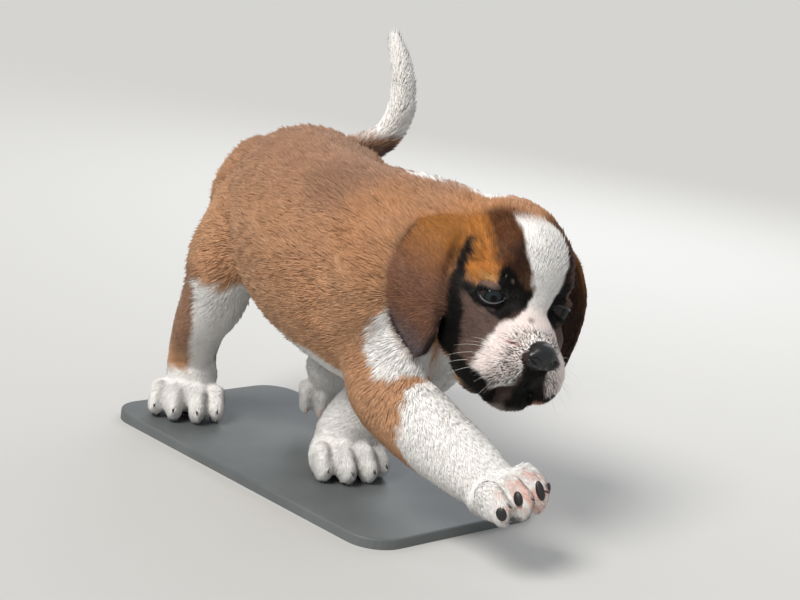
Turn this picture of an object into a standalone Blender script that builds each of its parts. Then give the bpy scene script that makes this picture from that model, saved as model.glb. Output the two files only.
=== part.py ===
# A Saint Bernard puppy of about seven weeks in mid-trot, as a still life-size model on a display base.
# The tables are in centimetres over the floor that the puppy trots on, and CM turns them to metres.
# +X is the way the puppy trots, +Y is its left and +Z is up. The base lies under that floor.
import math

import bmesh
import bpy
import numpy as np
from mathutils import Matrix, Vector

CM = 0.01
GAP = 0.0003

# Base
BASE_LENGTH = 36.0
BASE_WIDTH = 20.0
BASE_THICK = 0.9
BASE_CENTRE = (-0.5, -3.0)
BASE_CORNER = 3.0
BASE_EDGE = 0.15

# Trunk: the spine bends to the puppy's left between the hips and the chest
HIP_CENTRE = (-8.3, -1.4)
HIP_HEADING = -35.0
CHEST_HEADING = 15.0
HIP_TO_CHEST = 18.5

# Head
HEAD_CENTRE = (16.3, -1.8, 20.5)
HEAD_YAW = -20.0
HEAD_PITCH = 15.0
HEAD_ROLL = -11.0
EYE_RADIUS = 1.08
EYE_PLACE = (4.32, 3.0, 0.45)
EYE_TURN = 32.0
EYE_OPENING = (1.0, 0.62)

# Skin
VOXEL = 0.16
BODY_SMOOTHING = 60
FINE_SMOOTHING = 12
SKIN_TRIANGLES = 9600

COATS = {
    "brown": (0.36, 0.2, 0.1),
    "dark": (0.1, 0.065, 0.05),
    "white": (0.78, 0.73, 0.68),
    "black": (0.015, 0.014, 0.016),
    "eye": (0.03, 0.035, 0.05),
    "base": (0.32, 0.3, 0.28),
}


def clear_scene():
    for item in list(bpy.data.objects):
        bpy.data.objects.remove(item, do_unlink=True)


def coat(name, roughness):
    """A plain material in one of the named colours."""
    material = bpy.data.materials.new(name)
    material.use_nodes = True
    shader = material.node_tree.nodes["Principled BSDF"]
    shader.inputs["Base Color"].default_value = (*COATS[name], 1.0)
    shader.inputs["Roughness"].default_value = roughness
    shader.inputs["Metallic"].default_value = 0.0
    return material


def lift(point):
    """A place over the floor, in metres."""
    return Vector(point) * CM


def frame_at(point, forward, up):
    """A frame at a place over the floor, with +X along forward and +Z near up."""
    x = Vector(forward).normalized()
    y = Vector(up).cross(x).normalized()
    turn = Matrix((x, y, x.cross(y))).transposed().to_4x4()
    return Matrix.Translation(lift(point)) @ turn


def head_frame():
    """The head's own axes: +X to the nose, +Y to its left, +Z to the crown."""
    turn = (
        Matrix.Rotation(math.radians(HEAD_YAW), 4, "Z")
        @ Matrix.Rotation(math.radians(HEAD_PITCH), 4, "Y")
        @ Matrix.Rotation(math.radians(HEAD_ROLL), 4, "X")
    )
    return Matrix.Translation(lift(HEAD_CENTRE)) @ turn


def spine(along, left=0.0, height=0.0):
    """A place over the floor, measured along the bent spine from the hips, to its left, and up."""
    bend = math.radians(CHEST_HEADING - HIP_HEADING) / HIP_TO_CHEST
    start = math.radians(HIP_HEADING)
    on_arc = min(max(along, 0.0), HIP_TO_CHEST)
    heading = start + bend * on_arc
    x = HIP_CENTRE[0] + (math.sin(heading) - math.sin(start)) / bend
    y = HIP_CENTRE[1] - (math.cos(heading) - math.cos(start)) / bend
    ahead = along - on_arc
    x += ahead * math.cos(heading) - left * math.sin(heading)
    y += ahead * math.sin(heading) + left * math.cos(heading)
    return (x, y, height)


def leftward(heading):
    """The unit vector to the left of a heading in degrees."""
    angle = math.radians(heading)
    return (-math.sin(angle), math.cos(angle), 0.0)


def smooth_rows(rows, per_span):
    """Rows of numbers joined by a Catmull-Rom curve, with per_span steps between each two."""
    rows = np.array(rows, float)
    padded = np.vstack([2 * rows[0] - rows[1], rows, 2 * rows[-1] - rows[-2]])
    found = []
    for i in range(len(rows) - 1):
        a, b, c, d = padded[i : i + 4]
        for t in np.arange(per_span) / per_span:
            square = 2 * a - 5 * b + 4 * c - d
            cube = 3 * b - a - 3 * c + d
            found.append(0.5 * (2 * b + (c - a) * t + square * t**2 + cube * t**3))
    found.append(rows[-1])
    return np.array(found)


def skin_loops(bm, loops):
    """Quads between neighbouring loops of vertices, and a face on each end."""
    sides = len(loops[0])
    for lower, upper in zip(loops, loops[1:]):
        for k in range(sides):
            n = (k + 1) % sides
            bm.faces.new((lower[k], lower[n], upper[n], upper[k]))
    bm.faces.new(loops[0][::-1])
    bm.faces.new(loops[-1])


def add_ellipsoid(bm, centre, radii, frame=None, detail=4):
    """An ellipsoid at a place over the floor, or at a place in the given frame."""
    base = Matrix.Identity(4) if frame is None else frame
    place = base @ Matrix.Translation(Vector(centre) * CM)
    size = Matrix.Diagonal((*(Vector(radii) * CM), 1.0))
    bmesh.ops.create_icosphere(bm, subdivisions=detail, radius=1.0, matrix=place @ size)


def add_tube(bm, stations, across, sides=24, per_span=5):
    """A tube with domed ends through stations (place, half size across, half size the other way)."""
    rows = smooth_rows([(*place, wide, deep) for place, wide, deep in stations], per_span)
    tangents = np.gradient(rows[:, :3], axis=0)
    tangents /= np.linalg.norm(tangents, axis=1)[:, None]
    rings = [(row[:3], way, row[3], row[4], 1.0) for row, way in zip(rows, tangents)]
    rings = dome(rings[0], -1)[::-1] + rings + dome(rings[-1], 1)
    loops = []
    for centre, way, wide, deep, shrink in rings:
        side = np.array(across, float) - way * np.dot(across, way)
        side /= np.linalg.norm(side)
        other = np.cross(way, side)
        loop = []
        for angle in np.arange(sides) * 2 * math.pi / sides:
            offset = side * wide * math.cos(angle) + other * deep * math.sin(angle)
            loop.append(bm.verts.new(lift(centre + offset * shrink)))
        loops.append(loop)
    skin_loops(bm, loops)


def dome(ring, sign):
    """Three ever smaller rings past one end of a tube."""
    centre, way, wide, deep, _ = ring
    reach = min(wide, deep) * sign
    found = []
    for angle in (math.radians(a) for a in (30, 58, 80)):
        found.append((centre + way * reach * math.sin(angle), way, wide, deep, math.cos(angle)))
    return found


def add_trunk(bm):
    # Distance along the spine, half width, height of the back, height of the belly
    stations = [
        (-6.8, 2.6, 24.2, 18.5),
        (-5.2, 4.8, 26.0, 16.0),
        (-2.0, 6.6, 27.4, 14.0),
        (2.0, 7.4, 27.6, 12.6),
        (6.5, 7.7, 27.2, 11.0),
        (11.0, 7.9, 27.0, 9.8),
        (15.5, 7.5, 27.2, 8.8),
        (19.0, 6.5, 27.2, 8.6),
        (21.8, 5.0, 25.6, 9.8),
        (23.6, 3.4, 22.0, 12.5),
    ]
    loops = []
    for along, half, top, bottom in smooth_rows(stations, 4):
        loop = []
        for angle in np.arange(32) * 2 * math.pi / 32:
            height = (top + bottom) / 2 + (top - bottom) / 2 * math.sin(angle)
            loop.append(bm.verts.new(lift(spine(along, half * math.cos(angle), height))))
        loops.append(loop)
    skin_loops(bm, loops)
    for side in (-1, 1):
        add_ellipsoid(bm, spine(17.5, side * 4.0, 18.5), (4.2, 3.8, 6.4))
        add_ellipsoid(bm, spine(-2.2, side * 4.0, 19.4), (5.3, 4.4, 6.6))


def add_neck(bm):
    stations = [
        (spine(14.5, 0.0, 20.0), 5.8, 6.8),
        (spine(19.0, 0.0, 20.6), 5.7, 6.8),
        ((14.0, -2.6, 20.8), 5.2, 6.0),
        ((17.0, -2.0, 20.6), 4.6, 4.8),
    ]
    add_tube(bm, stations, leftward(0))


def add_head(bm, frame):
    middle = [
        ((-0.6, 0.0, 1.4), (5.6, 5.4, 5.0)),
        ((2.0, 0.0, 2.1), (3.8, 4.3, 4.2)),
        ((1.6, 0.0, -1.4), (4.8, 4.7, 3.8)),
        ((5.4, 0.0, -1.9), (3.4, 3.2, 2.6)),
        ((4.2, 0.0, 0.9), (1.9, 2.6, 1.9)),
        ((7.2, 0.0, -2.7), (2.6, 3.1, 2.8)),
        ((3.4, 0.0, -4.6), (4.6, 3.6, 2.2)),
        ((7.0, 0.2, -5.9), (2.2, 2.4, 1.6)),
    ]
    pairs = [
        ((0.4, 3.4, -1.6), (4.0, 2.5, 3.6)),
        ((3.2, 3.2, -3.8), (2.4, 1.7, 2.3)),
        ((6.4, 2.7, -4.2), (2.9, 1.8, 2.6)),
        ((4.6, 2.8, -2.6), (2.4, 1.8, 2.4)),
        ((2.9, 2.4, 2.0), (2.0, 1.9, 1.4)),
    ]
    for centre, radii in middle:
        add_ellipsoid(bm, centre, radii, frame)
    for (x, y, z), radii in pairs:
        for side in (-1, 1):
            add_ellipsoid(bm, (x, side * y, z), radii, frame)
    x, y, z = EYE_PLACE
    for side in (-1, 1):
        add_ellipsoid(bm, (x, side * y, z), [EYE_RADIUS + 0.2] * 3, frame)


# How far each toe lies from the middle of the paw, as a share of its width, and how it splays
TOES = [(-0.36, -8.0), (-0.13, -3.0), (0.13, 3.0), (0.36, 8.0)]


def add_paw(bm, frame, width, length, tall):
    """A paw with toes and pads. The frame is at the wrist, +X to the toes and -Z to the sole."""
    add_ellipsoid(bm, (length * 0.3, 0.0, -tall * 0.42), (length * 0.42, width * 0.44, tall * 0.52), frame)
    for place, splay in TOES:
        reach = length * (0.62 if abs(place) > 0.2 else 0.72)
        turn = frame @ Matrix.Rotation(math.radians(splay), 4, "Z")
        across = place * width
        knuckle = (reach * 0.88, across, -tall * 0.46)
        add_ellipsoid(bm, knuckle, (length * 0.26, width * 0.145, tall * 0.44), turn)
        tip = (reach * 1.12, across, -tall * 0.62)
        add_ellipsoid(bm, tip, (length * 0.17, width * 0.135, tall * 0.34), turn)
        pad = (reach * 1.06, across, -tall * 0.86)
        add_ellipsoid(bm, pad, (length * 0.13, width * 0.095, tall * 0.17), turn)
    heel = (length * 0.34, 0.0, -tall * 0.86)
    add_ellipsoid(bm, heel, (length * 0.2, width * 0.26, tall * 0.18), frame)


# Each paw: its wrist, its way forward, its way up, and its width, length and height
PAWS = {
    "foreleg_right": ((21.2, -7.1, 6.4), (0.88, 0.17, 0.38), (-0.41, -0.14, 0.9), 6.0, 6.0, 3.8),
    "foreleg_left": ((1.6, -4.0, 3.5), (0.98, -0.2, 0.0), (0.0, 0.0, 1.0), 6.0, 6.2, 3.6),
    "hindleg_right": ((-15.6, -6.2, 3.4), (0.76, -0.65, 0.0), (0.0, 0.0, 1.0), 5.8, 6.2, 3.4),
    "hindleg_left": ((-6.0, 1.4, 7.0), (0.7, -0.3, -0.65), (0.5, -0.35, 0.6), 4.6, 5.5, 3.2),
}


def add_legs(bm):
    """Each leg from the shoulder or hip to the paw."""
    fore = leftward(CHEST_HEADING)
    hind = leftward(HIP_HEADING)
    right_fore = [
        (spine(17.0, -4.0, 17.5), 3.0, 4.2),
        ((11.2, -8.2, 12.8), 3.0, 3.9),
        ((12.7, -8.6, 10.4), 3.0, 3.4),
        ((16.3, -8.1, 8.6), 2.9, 3.2),
        ((19.7, -7.3, 7.2), 2.65, 2.85),
        ((22.0, -6.8, 6.3), 2.5, 2.4),
    ]
    left_fore = [
        (spine(17.5, 4.0, 17.0), 3.0, 4.2),
        ((8.4, 0.2, 12.2), 2.9, 3.4),
        ((6.2, -1.8, 8.6), 2.6, 2.8),
        ((3.8, -3.5, 5.0), 2.5, 2.4),
        ((2.9, -4.0, 3.2), 2.5, 2.3),
    ]
    right_hind = [
        (spine(-1.2, -4.4, 20.0), 3.4, 5.8),
        ((-10.8, -7.6, 15.8), 3.3, 4.9),
        ((-11.2, -8.0, 12.2), 2.9, 3.8),
        ((-13.4, -7.6, 8.6), 2.4, 2.9),
        ((-15.0, -6.8, 5.4), 2.2, 2.4),
        ((-14.6, -6.9, 3.2), 2.3, 2.3),
    ]
    left_hind = [
        (spine(-0.5, 4.0, 19.5), 3.3, 5.2),
        ((-4.2, 2.6, 15.6), 3.0, 4.2),
        ((-2.6, 1.8, 12.4), 2.6, 3.0),
        ((-5.0, 2.4, 9.6), 2.2, 2.5),
        ((-6.0, 2.2, 8.0), 2.1, 2.2),
        ((-4.6, 1.0, 6.0), 2.4, 2.2),
    ]
    for stations, across in ((right_fore, fore), (left_fore, fore), (right_hind, hind), (left_hind, hind)):
        add_tube(bm, stations, across)
    for wrist, forward, up, width, length, tall in PAWS.values():
        add_paw(bm, frame_at(wrist, forward, up), width, length, tall)


def add_tail(bm):
    stations = [
        ((-11.0, 0.8, 22.6), 2.0, 2.0),
        ((-12.2, 3.2, 23.4), 1.8, 1.8),
        ((-11.8, 6.0, 24.2), 1.55, 1.55),
        ((-10.0, 8.4, 26.0), 1.4, 1.4),
        ((-8.9, 9.2, 29.0), 1.3, 1.3),
        ((-9.2, 9.0, 32.4), 1.1, 1.1),
        ((-10.2, 8.6, 35.0), 0.8, 0.8),
    ]
    add_tube(bm, stations, (0.3, 0.9, 0.0))


def to_object(name, bm):
    bmesh.ops.recalc_face_normals(bm, faces=bm.faces)
    mesh = bpy.data.meshes.new(name)
    bm.to_mesh(mesh)
    bm.free()
    item = bpy.data.objects.new(name, mesh)
    bpy.context.scene.collection.objects.link(item)
    return item


def copy_of(item, name):
    twin = bpy.data.objects.new(name, item.data.copy())
    bpy.context.scene.collection.objects.link(twin)
    return twin


def apply_modifiers(item):
    graph = bpy.context.evaluated_depsgraph_get()
    mesh = bpy.data.meshes.new_from_object(item.evaluated_get(graph))
    item.modifiers.clear()
    old = item.data
    item.data = mesh
    bpy.data.meshes.remove(old)


def cut(item, tool, operation="DIFFERENCE"):
    """A Boolean with one tool, after which only the largest closed surface is kept."""
    modifier = item.modifiers.new("cut", "BOOLEAN")
    modifier.object = tool
    modifier.operation = operation
    modifier.solver = "EXACT"
    apply_modifiers(item)
    keep_largest(item)


def keep_largest(item):
    bm = bmesh.new()
    bm.from_mesh(item.data)
    bmesh.ops.triangulate(bm, faces=bm.faces)
    islands = []
    left = set(bm.verts)
    while left:
        island = {left.pop()}
        edge = list(island)
        while edge:
            vert = edge.pop()
            for link in vert.link_edges:
                other = link.other_vert(vert)
                if other in left:
                    left.discard(other)
                    island.add(other)
                    edge.append(other)
        islands.append(island)
    islands.sort(key=len)
    loose = [vert for island in islands[:-1] for vert in island]
    bmesh.ops.delete(bm, geom=loose, context="VERTS")
    bm.to_mesh(item.data)
    bm.free()


def fine_places():
    """The middle and radius of each place that keeps fine detail, and how much it is still softened."""
    places = [(head_frame() @ lift((5.6, 0.0, -1.0)), 5.6 * CM, 0.3)]
    for wrist, forward, up, width, length, tall in PAWS.values():
        middle = frame_at(wrist, forward, up) @ lift((length * 0.5, 0, -tall * 0.5))
        places.append((middle, 4.6 * CM, 0.0))
    return places


def coarse_group(item):
    """A vertex group that is one on the body and lower on the face and the paws."""
    points = np.array([vert.co[:] for vert in item.data.vertices])
    weight = np.ones(len(points))
    for centre, radius, least in fine_places():
        away = np.linalg.norm(points - np.array(centre), axis=1)
        weight = np.minimum(weight, np.clip((away - radius) / (2.5 * CM), least, 1.0))
    group = item.vertex_groups.new(name="coarse")
    for index, value in enumerate(weight):
        group.add([index], float(value), "REPLACE")


def build_skin():
    """One closed skin over all of the flesh."""
    bm = bmesh.new()
    frame = head_frame()
    add_trunk(bm)
    add_neck(bm)
    add_head(bm, frame)
    add_legs(bm)
    add_tail(bm)
    skin = to_object("skin", bm)
    remesh = skin.modifiers.new("blend", "REMESH")
    remesh.mode = "VOXEL"
    remesh.voxel_size = VOXEL * CM
    apply_modifiers(skin)
    coarse_group(skin)
    soften = skin.modifiers.new("soften", "SMOOTH")
    soften.factor = 0.5
    soften.iterations = BODY_SMOOTHING
    soften.vertex_group = "coarse"
    fine = skin.modifiers.new("fine", "SMOOTH")
    fine.factor = 0.5
    fine.iterations = FINE_SMOOTHING
    apply_modifiers(skin)
    return skin


def carve(item, frame, path, radius, depth):
    """Presses a soft groove along a path in the frame, or raises a ridge where the depth is below 0."""
    mesh = item.data
    points = np.array([vert.co[:] for vert in mesh.vertices])
    normals = np.array([vert.normal[:] for vert in mesh.vertices])
    line = np.array([(frame @ lift(p))[:] for p in smooth_rows(path, 8)])
    near = np.where(np.linalg.norm(points - line.mean(axis=0), axis=1) < 0.15)[0]
    away = np.min(np.linalg.norm(points[near, None] - line[None], axis=2), axis=1)
    push = np.exp(-((away / (radius * CM)) ** 2)) * depth * CM
    points[near] -= normals[near] * push[:, None]
    mesh.vertices.foreach_set("co", points.ravel())
    mesh.update()


MOUTH = [(9.2, 0.0, -4.4), (8.5, 1.4, -5.2), (7.0, 2.8, -6.1), (5.2, 3.8, -5.9), (3.8, 4.3, -5.2)]


def carve_face(skin, frame):
    for side in (-1, 1):
        carve(skin, frame, [(x, side * y, z) for x, y, z in MOUTH], 0.26, 0.24)
        inner = (EYE_PLACE[0] + 1.0, side * (EYE_PLACE[1] - 1.2), EYE_PLACE[2] - 0.2)
        carve(skin, frame, [inner, (inner[0] + 0.6, inner[1], inner[2] - 0.4)], 0.7, 0.1)


def thin_out(skin):
    """Fewer triangles, spread by how much the skin curves."""
    skin.vertex_groups.clear()
    count = sum(len(face.vertices) - 2 for face in skin.data.polygons)
    decimate = skin.modifiers.new("thin", "DECIMATE")
    decimate.ratio = SKIN_TRIANGLES / count
    decimate.use_collapse_triangulate = True
    apply_modifiers(skin)
    keep_largest(skin)


def block(frame, low, high, grow=0.0):
    """A box between two corners in a frame, in centimetres, grown on all sides."""
    bm = bmesh.new()
    bmesh.ops.create_cube(bm, size=1.0)
    size = [b - a + 2 * grow for a, b in zip(low, high)]
    middle = [(a + b) / 2 for a, b in zip(low, high)]
    for vert in bm.verts:
        vert.co = frame @ (Vector([c * s + m for c, s, m in zip(vert.co, size, middle)]) * CM)
    return to_object("block", bm)


def cut_places():
    """Where the skin parts into nodes: a frame for each, and the corners of the boxes that hold it."""
    right_fore = frame_at((12.4, -8.6, 11.0), (0.83, -0.35, -0.42), (0.4, 0, 0.9))
    left_fore = frame_at((6.6, -1.8, 9.2), (1, 0.2, 0), (0, 0, 1))
    right_hind = frame_at((-11.0, -8.0, 12.6), (0.8, -0.55, 0.25), (-0.2, 0, 1))
    left_hind = frame_at((-4.0, 2.2, 12.4), (0.82, -0.57, 0), (-0.2, -0.29, 1))
    tail = frame_at((-11.5, 6.7, 24.7), (0.45, 0.75, 0.5), (0, 0, 1))
    head = frame_at((12.3, -2.9, 20.6), (0.94, 0.25, 0.05), (0, 0, 1))
    neck = frame_at(spine(17.6, 0.0, 20.0), (0.86, 0.2, 0.47), (-0.4, 0, 1))
    return {
        "foreleg_right": (right_fore, [((0.0, -9.0, -9.0), (25.0, 10.0, 4.2))]),
        "foreleg_left": (left_fore, [((-6.5, -6.2, -12.0), (4.5, 8.0, 0.0))]),
        "hindleg_right": (right_hind, [((-12.0, -8.0, -16.0), (6.0, 4.0, 0.0))]),
        "hindleg_left": (left_hind, [((-9.0, -5.5, -16.0), (6.0, 10.0, 0.0)), ((-1.0, -8.5, -16.0), (6.0, -5.0, -6.0))]),
        "tail": (tail, [((0.0, -3.0, -2.4), (14.0, 6.0, 20.0))]),
        "head": (head, [((0.0, -15.0, -6.5), (20.0, 15.0, 15.0)), ((3.6, -15.0, -10.0), (20.0, 15.0, -6.0))]),
        "neck": (neck, [((0.0, -15.0, -9.5), (20.0, 15.0, 15.0))]),
    }


def region(frame, boxes, grow=0.0):
    """The solid that a node is cut out with."""
    tool = block(frame, *boxes[0], grow)
    for box in boxes[1:]:
        other = block(frame, *box, grow)
        cut(tool, other, "UNION")
        bpy.data.objects.remove(other, do_unlink=True)
    return tool


def part_nodes(skin):
    """The skin parted by thin cuts into one closed body for each node."""
    nodes = {}
    for name, (frame, boxes) in cut_places().items():
        inner = region(frame, boxes)
        outer = region(frame, boxes, GAP / CM)
        nodes[name] = copy_of(skin, name)
        cut(nodes[name], inner, "INTERSECT")
        cut(skin, outer)
        for tool in (inner, outer):
            bpy.data.objects.remove(tool, do_unlink=True)
    skin.name = "torso"
    nodes["torso"] = skin
    return nodes


def level_feet(skin):
    """Cuts the soles flat, a hair over the top of the base."""
    floor = block(Matrix.Identity(4), (-60.0, -60.0, -20.0), (60.0, 60.0, GAP / CM))
    cut(skin, floor)
    bpy.data.objects.remove(floor, do_unlink=True)


def eye_frame(frame, side):
    """The eye's own axes, with +X the way it looks."""
    x, y, z = EYE_PLACE
    place = Matrix.Translation(lift((x, side * y, z)))
    return frame @ place @ Matrix.Rotation(math.radians(side * EYE_TURN), 4, "Z")


def add_eye(name, frame, side, head):
    """The eyeball, and the socket and lid opening that it shows through."""
    own = eye_frame(frame, side)
    bm = bmesh.new()
    bmesh.ops.create_uvsphere(bm, u_segments=16, v_segments=10, radius=EYE_RADIUS * CM, matrix=own)
    ball = to_object(name, bm)
    bm = bmesh.new()
    bmesh.ops.create_uvsphere(bm, u_segments=16, v_segments=10, radius=EYE_RADIUS * CM + GAP, matrix=own)
    socket = to_object("socket", bm)
    bm = bmesh.new()
    loops = []
    for x in (0.2, 2.5):
        loop = []
        for angle in np.arange(20) * 2 * math.pi / 20:
            across = EYE_OPENING[0] * math.cos(angle)
            up = EYE_OPENING[1] * math.sin(angle) * (1 - 0.25 * math.cos(angle) ** 2)
            loop.append(bm.verts.new(own @ lift((x, across, up))))
        loops.append(loop)
    skin_loops(bm, loops)
    opening = to_object("opening", bm)
    cut(socket, opening, "UNION")
    cut(head, socket)
    for tool in (socket, opening):
        bpy.data.objects.remove(tool, do_unlink=True)
    return ball


def add_nose(frame, head):
    """The bare leather of the nose, set into the end of the muzzle, with its nostrils."""
    bm = bmesh.new()
    add_ellipsoid(bm, (9.65, 0.1, -1.45), (0.9, 1.35, 0.95), frame)
    add_ellipsoid(bm, (9.35, 0.1, -0.9), (1.0, 1.1, 0.6), frame)
    for side in (-1, 1):
        add_ellipsoid(bm, (9.65, side * 0.8 + 0.1, -1.55), (0.85, 0.7, 0.75), frame)
    nose = to_object("nose", bm)
    remesh = nose.modifiers.new("blend", "REMESH")
    remesh.mode = "VOXEL"
    remesh.voxel_size = 0.1 * CM
    soften = nose.modifiers.new("soften", "SMOOTH")
    soften.factor = 0.5
    soften.iterations = 6
    apply_modifiers(nose)
    for side in (-1, 1):
        carve(nose, frame, [(10.45, side * 0.62 + 0.1, -1.55), (10.25, side * 1.0 + 0.1, -1.4)], 0.22, 0.4)
    carve(nose, frame, [(10.55, 0.1, -1.15), (10.25, 0.1, -2.45)], 0.12, 0.12)
    thin = nose.modifiers.new("thin", "DECIMATE")
    thin.ratio = 520 / sum(len(face.vertices) - 2 for face in nose.data.polygons)
    apply_modifiers(nose)
    keep_largest(nose)
    seat = grown(nose)
    cut(head, seat)
    bpy.data.objects.remove(seat, do_unlink=True)
    return nose


def grown(item):
    """A copy that stands proud of the object by the gap that touching pieces keep."""
    twin = copy_of(item, "grown")
    swell = twin.modifiers.new("swell", "DISPLACE")
    swell.strength = GAP
    swell.mid_level = 0.0
    apply_modifiers(twin)
    return twin


# Each ear from root to tip in the head's axes: its front edge, then its back edge.
# The right one lies out over the neck and the left one hangs close to the cheek.
EARS = {
    "ear_right": [
        ((0.4, -4.4, 3.6), (-2.6, -5.4, 3.4)),
        ((0.8, -5.5, 2.9), (-2.6, -7.9, 2.2)),
        ((1.7, -6.0, 1.2), (-1.9, -9.3, -0.8)),
        ((2.3, -6.0, -0.1), (-1.1, -9.8, -2.6)),
        ((3.2, -5.8, -1.9), (0.0, -8.9, -4.5)),
        ((4.0, -5.7, -3.9), (1.3, -7.2, -6.2)),
        ((3.6, -5.5, -6.0), (2.7, -5.7, -7.0)),
    ],
    "ear_left": [
        ((0.6, 4.3, 3.9), (-2.9, 4.5, 3.3)),
        ((1.0, 5.6, 3.4), (-3.0, 6.0, 2.4)),
        ((2.0, 6.8, 1.9), (-2.9, 7.4, 0.2)),
        ((2.9, 7.2, 0.3), (-2.3, 7.9, -1.9)),
        ((3.8, 7.1, -1.6), (-0.9, 7.8, -4.0)),
        ((4.3, 6.7, -3.4), (1.4, 7.3, -5.6)),
        ((4.2, 6.4, -5.0), (3.4, 6.5, -5.9)),
    ],
}
EAR_THICK = 0.4
EAR_CUP = 0.45


def add_ear(name, frame, body):
    """A hanging ear: a thick leaf that is hollowed on the side that faces the cheek."""
    rows = smooth_rows([(*front, *back) for front, back in EARS[name]], 2)
    middles = (rows[:, :3] + rows[:, 3:]) / 2
    outward = 1.0 if name == "ear_left" else -1.0
    bm = bmesh.new()
    loops = []
    for row, middle, way in zip(rows, middles, np.gradient(middles, axis=0)):
        half = (row[:3] - row[3:]) / 2
        out = np.cross(half, way) * outward
        out /= np.linalg.norm(out)
        cup = EAR_CUP * min(1.0, np.linalg.norm(half) / 2.5)
        loop = []
        for angle in np.arange(16) * 2 * math.pi / 16:
            rise = EAR_THICK * math.sin(angle) - cup * math.cos(angle) ** 2
            loop.append(bm.verts.new(frame @ lift(middle + half * math.cos(angle) + out * rise)))
        loops.append(loop)
    skin_loops(bm, loops)
    ear = to_object(name, bm)
    cut(ear, body)
    return ear


def add_claws(name, leg):
    """Four claws joined to a leg, each a bent cone at the end of a toe."""
    wrist, forward, up, width, length, tall = PAWS[name]
    frame = frame_at(wrist, forward, up)
    tools = bpy.data.collections.new(name + " claws")
    bpy.context.scene.collection.children.link(tools)
    for place, splay in TOES:
        turn = frame @ Matrix.Rotation(math.radians(splay), 4, "Z")
        reach = length * (0.62 if abs(place) > 0.2 else 0.72)
        bm = bmesh.new()
        start = np.array((reach * 1.12 + length * 0.1, place * width, -tall * 0.58))
        loops = []
        for share, drop in ((0.0, 0.0), (0.4, 0.05), (0.75, 0.16), (1.0, 0.3)):
            centre = start + np.array((share * 0.6, 0.0, -drop))
            size = 0.17 * (1.0 - share) ** 0.7 + 0.03
            loop = []
            for angle in np.arange(6) * 2 * math.pi / 6:
                ring = np.array((0.0, math.cos(angle) * size * 0.8, math.sin(angle) * size))
                loop.append(bm.verts.new(turn @ lift(centre + ring)))
            loops.append(loop)
        skin_loops(bm, loops)
        claw = to_object("claw", bm)
        bpy.context.scene.collection.objects.unlink(claw)
        tools.objects.link(claw)
    modifier = leg.modifiers.new("claws", "BOOLEAN")
    modifier.operand_type = "COLLECTION"
    modifier.collection = tools
    modifier.operation = "UNION"
    modifier.solver = "EXACT"
    apply_modifiers(leg)
    for claw in list(tools.objects):
        bpy.data.objects.remove(claw, do_unlink=True)
    bpy.data.collections.remove(tools)
    keep_largest(leg)


def add_base():
    """A flat display base with round corners and a soft edge."""
    bm = bmesh.new()
    bmesh.ops.create_cube(bm, size=1.0)
    for vert in bm.verts:
        vert.co.x = (vert.co.x * BASE_LENGTH + BASE_CENTRE[0]) * CM
        vert.co.y = (vert.co.y * BASE_WIDTH + BASE_CENTRE[1]) * CM
        vert.co.z = (vert.co.z - 0.5) * BASE_THICK * CM
    upright = [e for e in bm.edges if abs(e.verts[0].co.z - e.verts[1].co.z) > 0.1 * CM]
    bmesh.ops.bevel(bm, geom=upright, offset=BASE_CORNER * CM, segments=8, affect="EDGES", profile=0.5)
    rim = [e for e in bm.edges if e.verts[0].co.z > -0.01 * CM and e.verts[1].co.z > -0.01 * CM]
    bmesh.ops.bevel(bm, geom=rim, offset=BASE_EDGE * CM, segments=2, affect="EDGES", profile=0.5)
    return to_object("stand_base", bm)


def paint(nodes):
    """Gives each node its own material."""
    looks = {"eye": ("eye", 0.1), "nose": ("black", 0.35), "ear": ("dark", 0.8), "stand": ("base", 0.5)}
    looks.update({"torso": ("brown", 0.8), "head": ("brown", 0.8), "neck": ("brown", 0.8)})
    for name, item in nodes.items():
        colour, roughness = looks.get(name.split("_")[0], ("white", 0.8))
        item.data.materials.clear()
        item.data.materials.append(coat(colour, roughness))


def centre_on_origin(nodes):
    """Moves all of the nodes so that the middle of their box's underside is the origin."""
    points = [vert.co for item in nodes.values() for vert in item.data.vertices]
    low = Vector([min(p[k] for p in points) for k in range(3)])
    high = Vector([max(p[k] for p in points) for k in range(3)])
    shift = Matrix.Translation(-Vector(((low.x + high.x) / 2, (low.y + high.y) / 2, low.z)))
    for item in nodes.values():
        item.data.transform(shift)


def main():
    clear_scene()
    frame = head_frame()
    skin = build_skin()
    carve_face(skin, frame)
    thin_out(skin)
    level_feet(skin)
    body = grown(skin)
    nodes = part_nodes(skin)
    nodes["nose"] = add_nose(frame, nodes["head"])
    nodes["eye_right"] = add_eye("eye_right", frame, -1, nodes["head"])
    nodes["eye_left"] = add_eye("eye_left", frame, 1, nodes["head"])
    for name in EARS:
        nodes[name] = add_ear(name, frame, body)
    bpy.data.objects.remove(body, do_unlink=True)
    for name in PAWS:
        add_claws(name, nodes[name])
    nodes["stand_base"] = add_base()
    paint(nodes)
    centre_on_origin(nodes)


main()
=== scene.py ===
import heapq
import math

import bmesh
import bpy
import numpy as np
from mathutils import Matrix, Vector
from mathutils.bvhtree import BVHTree


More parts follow.
